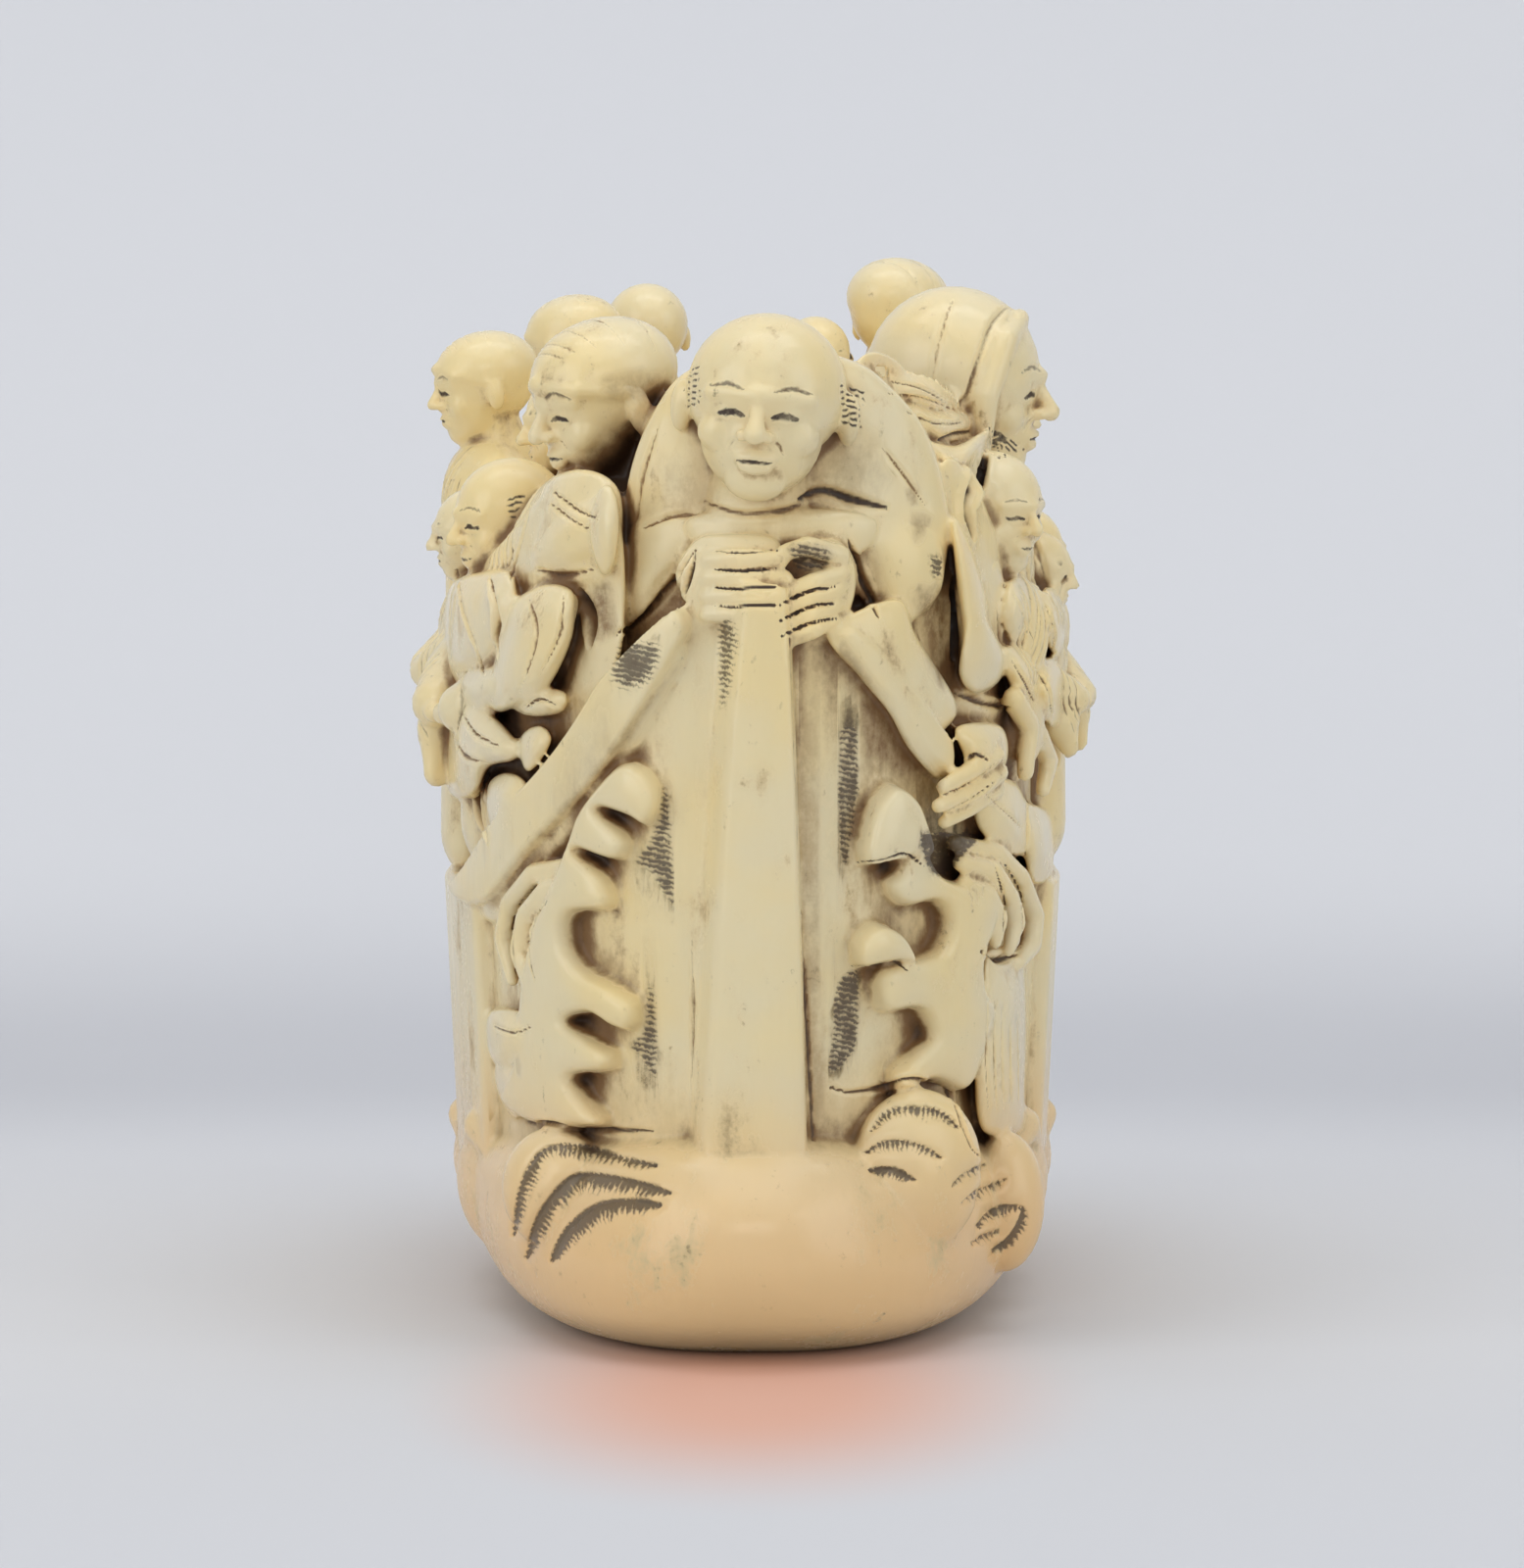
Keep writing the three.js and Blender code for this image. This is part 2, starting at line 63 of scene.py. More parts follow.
def fromBow(x, z, y):
    # the point at depth y that the camera sees at (x, z) in the bow's plane
    eye = Vector(view["eye"])
    run = Vector((x, view["plane"], z)) - eye
    return eye + run * ((y - eye.y) / run.y)


def toBow(points):
    eye = np.array(view["eye"])
    run = points - eye
    seen = eye + run * ((view["plane"] - eye[1]) / run[:, 1])[:, None]
    return seen[:, 0], seen[:, 2]


def onBoat(x, z, out=0.0):
    # where the line of sight through (x, z) in the bow's plane meets the hull, out from its side
    place = fromBow(x, z, -10)
    for _ in range(6):
        across = min(abs(place.x) / (boat["halfBeam"] + out), 0.999)
        place = fromBow(x, z, -(boat["halfLength"] + out) * math.sqrt(1 - across * across))
    return place


def sheerAt(angle):
    return boat["deck"] + boat["sheer"] * np.abs(np.cos(np.radians(angle))) ** 3.6


def onHull(angle, z, out=0.0):
    flare = 1 - 0.05 * np.clip((15 - z) / 11, 0, 1)
    turn = np.radians(angle)
    return np.stack([
        (boat["halfBeam"] * flare + out) * np.sin(turn),
        -(boat["halfLength"] * flare + out) * np.cos(turn),
        z + 0 * turn,
    ], axis=-1)


# Shapes shared by all forms


def smoothLine(points, closed=False, step=0.15):
    # a Catmull-Rom curve through the points
    points = np.array([tuple(p) for p in points], float)
    if len(points) < 3 and not closed:
        count = max(2, int(np.linalg.norm(points[-1] - points[0]) / step))
        return points[0] + (points[-1] - points[0]) * np.linspace(0, 1, count + 1)[:, None]
    if closed:
        padded = np.vstack([points[-1], points, points[:2]])
    else:
        padded = np.vstack([2 * points[0] - points[1], points, 2 * points[-1] - points[-2]])
    pieces = []
    for a, b, c, d in zip(padded, padded[1:], padded[2:], padded[3:]):
        count = max(2, int(np.linalg.norm(c - b) / step))
        t = np.linspace(0, 1, count, endpoint=False)[:, None]
        pieces.append(0.5 * (2 * b + (c - a) * t + (2 * a - 5 * b + 4 * c - d) * t**2
                             + (3 * b - a - 3 * c + d) * t**3))
    if not closed:
        pieces.append(points[-1:])
    return np.vstack(pieces)


def insideDepth(x, z, outline):
    # distance to the outline, positive inside it
    nearest = np.full(x.shape, 1e9)
    inside = np.zeros(x.shape, bool)
    for (ax, az), (bx, bz) in zip(outline, np.roll(outline, -1, axis=0)):
        dx, dz = bx - ax, bz - az
        t = np.clip(((x - ax) * dx + (z - az) * dz) / (dx * dx + dz * dz + 1e-12), 0, 1)
        nearest = np.minimum(nearest, (x - ax - t * dx) ** 2 + (z - az - t * dz) ** 2)
        crosses = (az > z) != (bz > z)
        inside ^= crosses & (x < (bx - ax) * (z - az) / (bz - az + 1e-12) + ax)
    return np.where(inside, 1, -1) * np.sqrt(nearest)


def alongLine(x, z, line):
    # distance to an open line and how far along it the nearest place is, 0 to 1
    nearest = np.full(x.shape, 1e9)
    share = np.zeros(x.shape)
    count = len(line) - 1
    for i in range(count):
        (ax, az), (bx, bz) = line[i], line[i + 1]
        dx, dz = bx - ax, bz - az
        t = np.clip(((x - ax) * dx + (z - az) * dz) / (dx * dx + dz * dz + 1e-12), 0, 1)
        far = np.hypot(x - ax - t * dx, z - az - t * dz)
        share = np.where(far < nearest, (i + t) / count, share)
        nearest = np.minimum(nearest, far)
    return nearest, share


def pillow(depth, edge):
    # 0 at an edge, 1 from this far inside, rounded over like a polished shoulder
    t = np.clip(depth / edge, 0, 1)
    return np.sqrt(1 - (1 - t) ** 2)


def ease(value, low, high):
    t = np.clip((value - low) / (high - low), 0, 1)
    return t * t * (3 - 2 * t)


def ballMesh(sides):
    form = bmesh.new()
    bmesh.ops.create_uvsphere(form, u_segments=sides, v_segments=sides // 2 + 2, radius=1)
    mesh = bpy.data.meshes.new("ball")
    form.to_mesh(mesh)
    form.free()
    return mesh


balls = {sides: ballMesh(sides) for sides in (16, 28)}


def lump(form, place, half, turn=None, sides=16):
    # an oval ball, copied from one that is made once
    copy = balls[sides].copy()
    copy.transform(Matrix.LocRotScale(Vector(place), turn, Vector(half)))
    form.from_mesh(copy)
    bpy.data.meshes.remove(copy)


def limb(form, points, radii, thin=1.0, facing=(0, -1, 0), sides=16):
    # a rounded bar through the points, made thin in the direction it faces
    points = [Vector(p) for p in points]
    facing = Vector(facing).normalized()
    frames = []
    for i, place in enumerate(points):
        run = (points[min(i + 1, len(points) - 1)] - points[max(i - 1, 0)]).normalized()
        across = run.cross(facing)
        across = across.normalized() if across.length > 0.05 else run.orthogonal().normalized()
        out = across.cross(run).normalized()
        turn = Matrix((across, out, run)).transposed()
        frames.append(turn)
        lump(form, place, (radii[i], radii[i] * thin, radii[i] * min(1, (1 + thin) / 1.6)), turn.to_quaternion(), 28 if radii[i] > 1 else 16)
    for i in range(len(points) - 1):
        run = points[i + 1] - points[i]
        across = run.cross(facing)
        across = across.normalized() if across.length > 0.05 else run.orthogonal().normalized()
        turn = Matrix((across, across.cross(run).normalized(), run.normalized())).transposed()
        matrix = Matrix.Translation((points[i] + points[i + 1]) / 2) @ turn.to_4x4() @ Matrix.Diagonal((1, thin, 1, 1))
        bmesh.ops.create_cone(form, cap_ends=True, segments=sides, radius1=radii[i], radius2=radii[i + 1],
                              depth=run.length, matrix=matrix)


def skin(form, rings):
    # a closed skin over rings of points, all of the same number
    loops = []
    for i, ring in enumerate(rings):
        isEnd = i in (0, len(rings) - 1)
        made = bmesh.ops.create_circle(form, segments=len(ring), radius=1, cap_ends=isEnd)["verts"]
        for vert, place in zip(made, ring):
            vert.co = Vector(tuple(place))
        members = set(made)
        edges = {e for v in made for e in v.link_edges if e.other_vert(v) in members}
        loops.append(list(edges))
    for lower, upper in zip(loops, loops[1:]):
        bmesh.ops.bridge_loops(form, edges=lower + upper)


def relief(form, outline, out, bulge, back=-2.5, edge=0.42, place=onBoat):
    # cloth or flesh carved in relief: an outline seen from the front, standing out and rounded over at its edge
    line = smoothLine(outline, closed=True, step=0.25)
    middle = line.mean(axis=0)
    size = np.linalg.norm(line - middle, axis=1).mean()
    edge = min(edge, 0.45 * size)
    steps = [(1.0, back), (1.0, out)]
    for turn in (25, 50, 75):
        steps.append((1 - edge / size * (1 - math.cos(math.radians(turn))), out + 0.6 * bulge * math.sin(math.radians(turn))))
    inner = 1 - edge / size
    for share in (0.85, 0.6, 0.3, 0.08):
        steps.append((inner * share, out + bulge * (0.6 + 0.4 * math.sqrt(1 - share * share))))
    skin(form, [[place(x, z, level) for x, z in middle + (line - middle) * k] for k, level in steps])


def asMesh(form, name):
    bmesh.ops.recalc_face_normals(form, faces=form.faces)
    mesh = bpy.data.meshes.new(name)
    form.to_mesh(mesh)
    form.free()
    return mesh


def corners(mesh):
    co = np.empty(len(mesh.vertices) * 3, np.float32)
    mesh.vertices.foreach_get("co", co)
    return co.reshape(-1, 3).astype(float)


def setCorners(mesh, co):
    mesh.vertices.foreach_set("co", co.astype(np.float32).ravel())
    mesh.update()


forms = []  # rough meshes that are fused into one
cuts = []  # grooves, hair lines and dents, carved after the fusing


def cut(points, width=0.16, depth=0.12, ink=0.9, hatch=0.0, taper=0.6, matrix=None, fromFront=False, straight=False):
    # a groove along a line: width is half its breadth. fromFront takes (x, z) in the bow's plane.
    if matrix is not None:
        points = [matrix @ Vector(p) for p in points]
    line = np.array([tuple(p) for p in points], float) if straight else smoothLine(points, step=0.12)
    cuts.append({"line": line, "width": width, "depth": depth, "ink": ink, "hatch": hatch, "taper": taper,
                 "fromFront": fromFront})


# The hull, with its stem, rails and wave crests

stem = {"top": 25.3, "middle": (0.2, -0.1), "half": (1.08, 1.95), "proud": 1.1}  # top value first
railAt = {
    "port": [(-3.0, 25.3), (-4.83, 21.85), (-6.14, 19.95), (-7.65, 18.25), (-8.85, 16.6)],
    "portHalf": 0.92,
    "starboard": [(2.6, 25.1), (3.67, 23.57), (4.67, 22.33), (5.33, 21.13), (6.33, 20.07), (6.5, 20.8),
                  (6.43, 21.57), (6.97, 22.6), (5.6, 24.9), (4.9, 26.2)],
    "proud": 0.95,
}
# Each crest is one outline with its claws, in the bow's plane. Flaps lie on it, pits are sunk beside it.
portCrest = {
    "body": [(-4.3, 20.6), (-3.5, 20.5), (-3.0, 19.7), (-3.05, 18.9), (-3.45, 18.5), (-3.9, 18.8), (-4.83, 19.1),
             (-4.13, 18.3), (-3.97, 17.9), (-4.13, 17.45), (-4.57, 17.35), (-5.57, 17.7), (-4.8, 16.9), (-4.48, 16.1),
             (-4.67, 15.65), (-5.75, 15.5), (-5.85, 14.5), (-5.35, 13.6), (-4.33, 13.0), (-3.75, 12.5), (-3.65, 12.0),
             (-3.9, 11.5), (-4.5, 11.65), (-5.2, 12.1), (-5.83, 11.85), (-5.1, 11.2), (-4.5, 10.8), (-4.4, 10.4),
             (-4.7, 10.1), (-5.67, 9.95), (-5.33, 9.2), (-4.75, 8.3), (-6.0, 8.2), (-7.2, 8.4), (-8.0, 9.2), (-7.6, 10.4),
             (-7.35, 13.2), (-7.0, 15.0), (-6.4, 16.6), (-5.9, 18.0), (-5.45, 19.2)],
    "flaps": [],
    "pits": [([(-5.75, 15.4), (-4.5, 15.5), (-5.05, 14.7), (-5.0, 14.0), (-4.5, 13.4), (-3.6, 12.8), (-3.4, 12.2), (-4.4, 12.6),
               (-5.4, 13.3), (-5.9, 14.4)], 0.75),
             ([(-5.7, 12.0), (-4.5, 11.7), (-4.0, 11.2), (-4.3, 10.6), (-5.0, 11.2)], 0.5),
             ([(-5.6, 9.8), (-4.5, 10.1), (-4.0, 9.2), (-3.7, 8.0), (-4.6, 8.1), (-5.2, 9.0)], 0.7),
             ([(-4.8, 19.2), (-3.7, 18.6), (-3.9, 18.1), (-4.6, 18.6)], 0.35),
             ([(-5.5, 17.8), (-4.4, 17.4), (-4.5, 16.8), (-5.0, 17.0)], 0.3)],
}
starboardCrest = {
    "body": [(4.6, 19.4), (5.4, 19.2), (5.55, 18.4), (5.75, 17.4), (6.15, 16.8), (6.7, 16.6), (7.7, 16.1), (7.8, 15.2), (7.45, 14.1), (7.45, 13.0),
             (7.75, 12.1), (7.45, 11.0), (7.1, 9.8), (6.6, 9.4), (5.75, 9.8), (4.8, 9.45), (4.5, 10.0), (5.1, 10.7),
             (5.65, 11.3), (5.5, 12.0), (5.2, 12.25), (4.15, 12.2), (4.1, 13.6), (5.3, 14.0), (5.9, 14.3), (6.2, 15.2),
             (5.9, 15.9), (5.0, 15.75), (4.5, 16.1), (4.35, 16.6), (4.6, 17.2)],
    "flaps": [[(3.53, 17.25), (3.58, 18.4), (3.93, 19.4), (4.5, 19.95), (5.15, 19.5), (5.5, 18.6), (5.7, 17.6), (5.1, 17.5), (4.4, 17.3)],
              [(3.4, 13.7), (3.3, 14.4), (3.6, 15.0), (4.1, 15.2), (4.7, 14.9), (5.1, 14.2), (5.15, 13.75), (4.6, 13.9), (4.0, 13.8)]],
    "pits": [([(3.7, 17.1), (4.5, 17.2), (4.3, 16.5), (4.9, 15.7), (6.0, 15.9), (6.2, 15.0), (5.5, 14.2), (4.9, 14.6), (4.6, 15.3),
               (3.8, 15.6)], 0.75),
             ([(4.2, 12.1), (5.4, 12.1), (5.6, 11.4), (4.9, 10.4), (4.4, 9.7), (4.0, 10.2)], 0.75),
             ([(3.7, 13.6), (4.1, 13.5), (4.1, 12.2), (3.7, 12.0)], 0.4)],
}
sternCrest = {
    "body": [(6.6, 19.2), (5.0, 19.3), (3.9, 18.6), (3.7, 17.7), (4.7, 17.9), (5.6, 17.3), (5.0, 16.4), (4.0, 15.9), (3.9, 15.0),
             (4.9, 15.2), (5.7, 14.5), (5.3, 13.2), (4.4, 12.7), (4.2, 11.8), (5.1, 11.9), (5.7, 11.2), (4.9, 9.6), (4.4, 8.2),
             (8.0, 8.2), (8.1, 11.0), (7.8, 14.0), (7.9, 17.0)],
    "flaps": [],
    "pits": [([(4.9, 17.6), (5.5, 17.2), (4.9, 16.4), (4.4, 16.6)], 0.4), ([(4.9, 14.9), (5.6, 14.4), (5.0, 13.3), (4.4, 13.8)], 0.5),
             ([(5.0, 11.6), (5.6, 11.0), (4.7, 9.4), (4.2, 9.6)], 0.5)],
}


def crestHeight(x, z, crest):
    depth = insideDepth(x, z, smoothLine(crest["body"], closed=True, step=0.2))
    out = 1.05 * pillow(depth, 0.32) + 0.12 * ease(depth, 0, 0.9)
    for outline in crest["flaps"]:
        depth = insideDepth(x, z, smoothLine(outline, closed=True, step=0.2))
        out = np.maximum(out, 1.3 * pillow(depth, 0.22) + 0.2 * ease(depth, 0, 0.8))
    for outline, deep in crest["pits"]:
        depth = insideDepth(x, z, smoothLine(outline, closed=True, step=0.2))
        out = np.where(out > 0.25, out, out - deep * ease(depth, -0.15, 0.3))
    return out


def hullHeight(angle, z, x, seenZ, isBow):
    # how far the hull stands out: x and seenZ are its place in the bow's plane, the stern turned to match
    out = np.zeros(x.shape)
    for here, crest, seenX in ((isBow & (x < 0), portCrest, x), (isBow & (x >= 0), starboardCrest, x),
                               (~isBow, sternCrest, np.abs(x))):
        out[here] = crestHeight(seenX[here], seenZ[here], crest)
    # the rails
    line = smoothLine(railAt["port"], step=0.5)
    isPort = (x < 0) | ~isBow
    far, share = alongLine(-np.abs(x), seenZ, line)
    plank = railAt["proud"] * pillow(railAt["portHalf"] - 0.08 * share - far, 0.22)
    under = alongLine(-np.abs(x), seenZ, line + np.array([0.25, -0.85]))[0]
    plank = np.maximum(plank, 0.42 * pillow(0.6 - under, 0.5))
    out = np.where(isPort, np.maximum(out, plank), out)
    depth = insideDepth(x, seenZ, np.array(railAt["starboard"]))
    out = np.where(~isPort, np.maximum(out, railAt["proud"] * pillow(depth, 0.2)), out)
    # the stem: sharp to starboard, soft to port, with a worn channel on each side
    fall = np.clip((stem["top"] - seenZ) / 18, 0, 1)
    middle = stem["middle"][0] + (stem["middle"][1] - stem["middle"][0]) * fall
    half = stem["half"][0] + (stem["half"][1] - stem["half"][0]) * fall**0.8
    offset = x - middle
    right = pillow(half - offset, 0.3)
    left = ease(half + 0.25 + offset, 0, 1.0)
    rib = stem["proud"] * np.where(offset > 0, right, left)
    groove = -0.45 * ease(offset, half - 0.1, half + 0.1) * (1 - ease(offset, half + 0.55, half + 0.75))
    groove -= 0.16 * ease(-offset, half + 0.1, half + 0.4) * (1 - ease(-offset, half + 0.8, half + 1.4))
    fades = ease(seenZ, 6.2, 8.5)
    out = np.maximum(out, rib) + np.where(np.abs(out) < 0.3, groove * fades, 0)
    # the bare sides of the hull
    start = np.where(x < 0, 61, 74)
    fromBowAngle = np.where(angle > 180, 360 - angle, angle)
    panel = np.minimum((fromBowAngle - start) * 0.2, (118 - fromBowAngle) * 0.25)
    panel = np.minimum(panel, 17.6 - z)
    out = np.maximum(out, 0.55 * pillow(panel, 0.35))
    return out


def hullDrum():
    form = bmesh.new()
    rounds, levels = ((720, 160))
    bmesh.ops.create_cone(form, cap_ends=True, segments=rounds, radius1=1, radius2=1, depth=2)
    upright = [e for e in form.edges if abs(e.verts[0].co.z - e.verts[1].co.z) > 1]
    bmesh.ops.subdivide_edges(form, edges=upright, cuts=levels)
    bmesh.ops.poke(form, faces=[f for f in form.faces if len(f.verts) > 4])
    mesh = asMesh(form, "hull")
    co = corners(mesh)
    isMiddle = np.hypot(co[:, 0], co[:, 1]) < 0.5
    angle = np.degrees(np.arctan2(co[:, 0], -co[:, 1])) % 360
    top = sheerAt(angle) + boat["railRise"] * ease(np.abs(np.cos(np.radians(angle))), 0.3, 0.75)
    z = boat["foot"] + (top - boat["foot"]) * (co[:, 2] + 1) / 2
    plain = onHull(angle, z)
    seen = plain.copy()
    seen[:, 1] = -np.abs(seen[:, 1])
    x, seenZ = toBow(seen)
    made = onHull(angle, z, hullHeight(angle, z, x, seenZ, plain[:, 1] < 0))
    made[isMiddle] = [[0, 0, boat["foot"] if low else 17.0] for low in co[isMiddle, 2] < 0]
    setCorners(mesh, made)
    forms.append(mesh)


hullDrum()
print("hull carved")

# The sea

sea = {
    # height, half width, half length, and 1 for an oval or less for a boxier ring
    "rims": [(0, 6.4, 17.4, 0.7), (0.5, 8.1, 19.2, 0.75), (1.5, 9.3, 21.3, 0.8), (3.1, 10.2, 22.4, 0.9),
             (4.8, 10.6, 22.5, 1), (5.8, 10.4, 22.1, 1), (6.9, 9.6, 21.3, 1), (7.7, 7.8, 20.2, 1)],
    "knotHole": (0, -5.5, 1.8),
    "cordHole": (0, 5.5, 1.5),
    "tunnelDepth": 3.2,
}


def oval(z, halfWide, halfLong, square, sides, wave=0.0):
    turn = np.linspace(0, 2 * np.pi, sides, endpoint=False)
    c, s = np.cos(turn), np.sin(turn)
    x = halfWide * np.sign(c) * np.abs(c) ** square
    y = halfLong * np.sign(s) * np.abs(s) ** square
    return np.stack([x, y, np.full(sides, z)], axis=1)


def seaBody():
    form = bmesh.new()
    rims = smoothLine(sea["rims"], step=0.35)
    skin(form, [oval(*rim, 140) for rim in rims])
    body = bpy.data.objects.new("sea", asMesh(form, "sea"))
    bpy.context.scene.collection.objects.link(body)
    tool = bmesh.new()
    deep = sea["tunnelDepth"]
    ends = []
    for x, y, radius in (sea["knotHole"], sea["cordHole"]):
        limb(tool, [(x, y, -2), (x, y, deep)], (radius, radius * 0.92), sides=32)
        ends.append((x, y, deep))
    limb(tool, ends, (1.3, 1.3), sides=24)
    holes = bpy.data.objects.new("holes", asMesh(tool, "holes"))
    bpy.context.scene.collection.objects.link(holes)
    bore = body.modifiers.new("bore", "BOOLEAN")
    bore.object = holes
    bore.operation = "DIFFERENCE"
    bore.solver = "EXACT"
    bore.use_self = True
    forms.append(evaluated(body, "sea bored"))
    for thing in (body, holes):
        bpy.data.objects.remove(thing)


def evaluated(thing, name):
    bpy.context.view_layer.update()
    graph = bpy.context.evaluated_depsgraph_get()
    mesh = bpy.data.meshes.new_from_object(thing.evaluated_get(graph))
    mesh.name = name
    return mesh


seaBody()
print("sea shaped")


def wavesAndCurls():
    form = bmesh.new()
    # lobes of the swell at the bow, as seen from the front: middle, half sizes, depth out from the hull
    for x, z, halfX, halfZ, out in ((-6.6, 6.0, 2.2, 2.2, 0.2), (5.6, 6.6, 2.5, 2.9, 0.4), (8.6, 5.6, 1.5, 2.5, 0.3)):
        lump(form, onBoat(x, z, out), (halfX, 1.4, halfZ), Matrix.Rotation(math.radians(x * 5), 3, "Z").to_quaternion(), 28)
    # the rolled crests, strand by strand, from the front: (x, z) along each
    strands = [
        ([(-6.3, 17.1), (-7.4, 16.8), (-8.2, 15.8), (-8.4, 14.6), (-8.15, 13.2)], 0.5),
        ([(-6.2, 16.5), (-7.0, 16.2), (-7.65, 15.4), (-7.85, 14.2), (-7.55, 12.8)], 0.65),
        ([(-6.1, 15.9), (-6.8, 15.5), (-7.2, 14.8), (-7.35, 13.8)], 0.6),
        ([(6.9, 17.9), (8.3, 17.5), (9.1, 16.7), (9.6, 15.4), (9.5, 14.4), (9.1, 13.8)], 0.55),
        ([(7.1, 17.2), (8.2, 16.9), (8.75, 16.0), (8.95, 15.2), (8.8, 14.3)], 0.75),
        ([(7.2, 16.5), (8.0, 16.1), (8.35, 15.3), (8.3, 14.5)], 0.7),
    ]
    for strand, out in strands:
        radii = [0.3] + [0.4] * (len(strand) - 2) + [0.24]
        limb(form, [onBoat(x, z, out) for x, z in strand], radii, sides=14)
    relief(form, [(-8.9, 12.1), (-7.4, 11.9), (-7.35, 10.6), (-8.8, 10.4)], 0.4, 0.5, edge=0.4)
    relief(form, [(-8.7, 10.3), (-7.6, 10.3), (-7.6, 9.3), (-8.0, 8.4), (-8.6, 9.2)], 0.2, 0.5)
    relief(form, [(8.0, 14.2), (8.6, 14.4), (9.2, 13.9), (9.35, 12.0), (9.3, 9.6), (9.2, 8.0), (7.9, 8.0), (7.6, 9.8),
                  (7.75, 11.6), (7.8, 13.2)], 0.1, 0.7, edge=0.5)
    # swells along both sides, each with a rolled top
    for side in (-1, 1):
        for angle, wide, top in ((66, 3.2, 6.6), (92, 3.4, 5.9), (118, 3.4, 6.6), (143, 3.0, 7.2), (163, 2.4, 7.0)):
            place = onHull(side * angle, 4.6, -0.35)
            turn = Matrix.Rotation(math.radians(side * angle), 3, "Z").to_quaternion()
            lump(form, place, (wide, 1.15, top - 4.2), turn, 28)
            crown = [onHull(side * (angle - 5), top - 1.0, -0.1), onHull(side * angle, top + 0.1, 0.25),
                     onHull(side * (angle + 5), top - 0.6, 0.3)]
            limb(form, crown, (0.5, 0.7, 0.45))
    forms.append(asMesh(form, "waves"))


wavesAndCurls()
print("waves rolled")

# Heads


def pose(place, gaze=0.0, nod=0.0, roll=0.0):
    # what is made facing the bow is tipped down by nod and turned from bow to starboard by gaze
    turn = Matrix.Rotation(math.radians(gaze), 4, "Z") @ Matrix.Rotation(math.radians(nod), 4, "X")
    return Matrix.Translation(Vector(place)) @ turn @ Matrix.Rotation(math.radians(roll), 4, "Y")


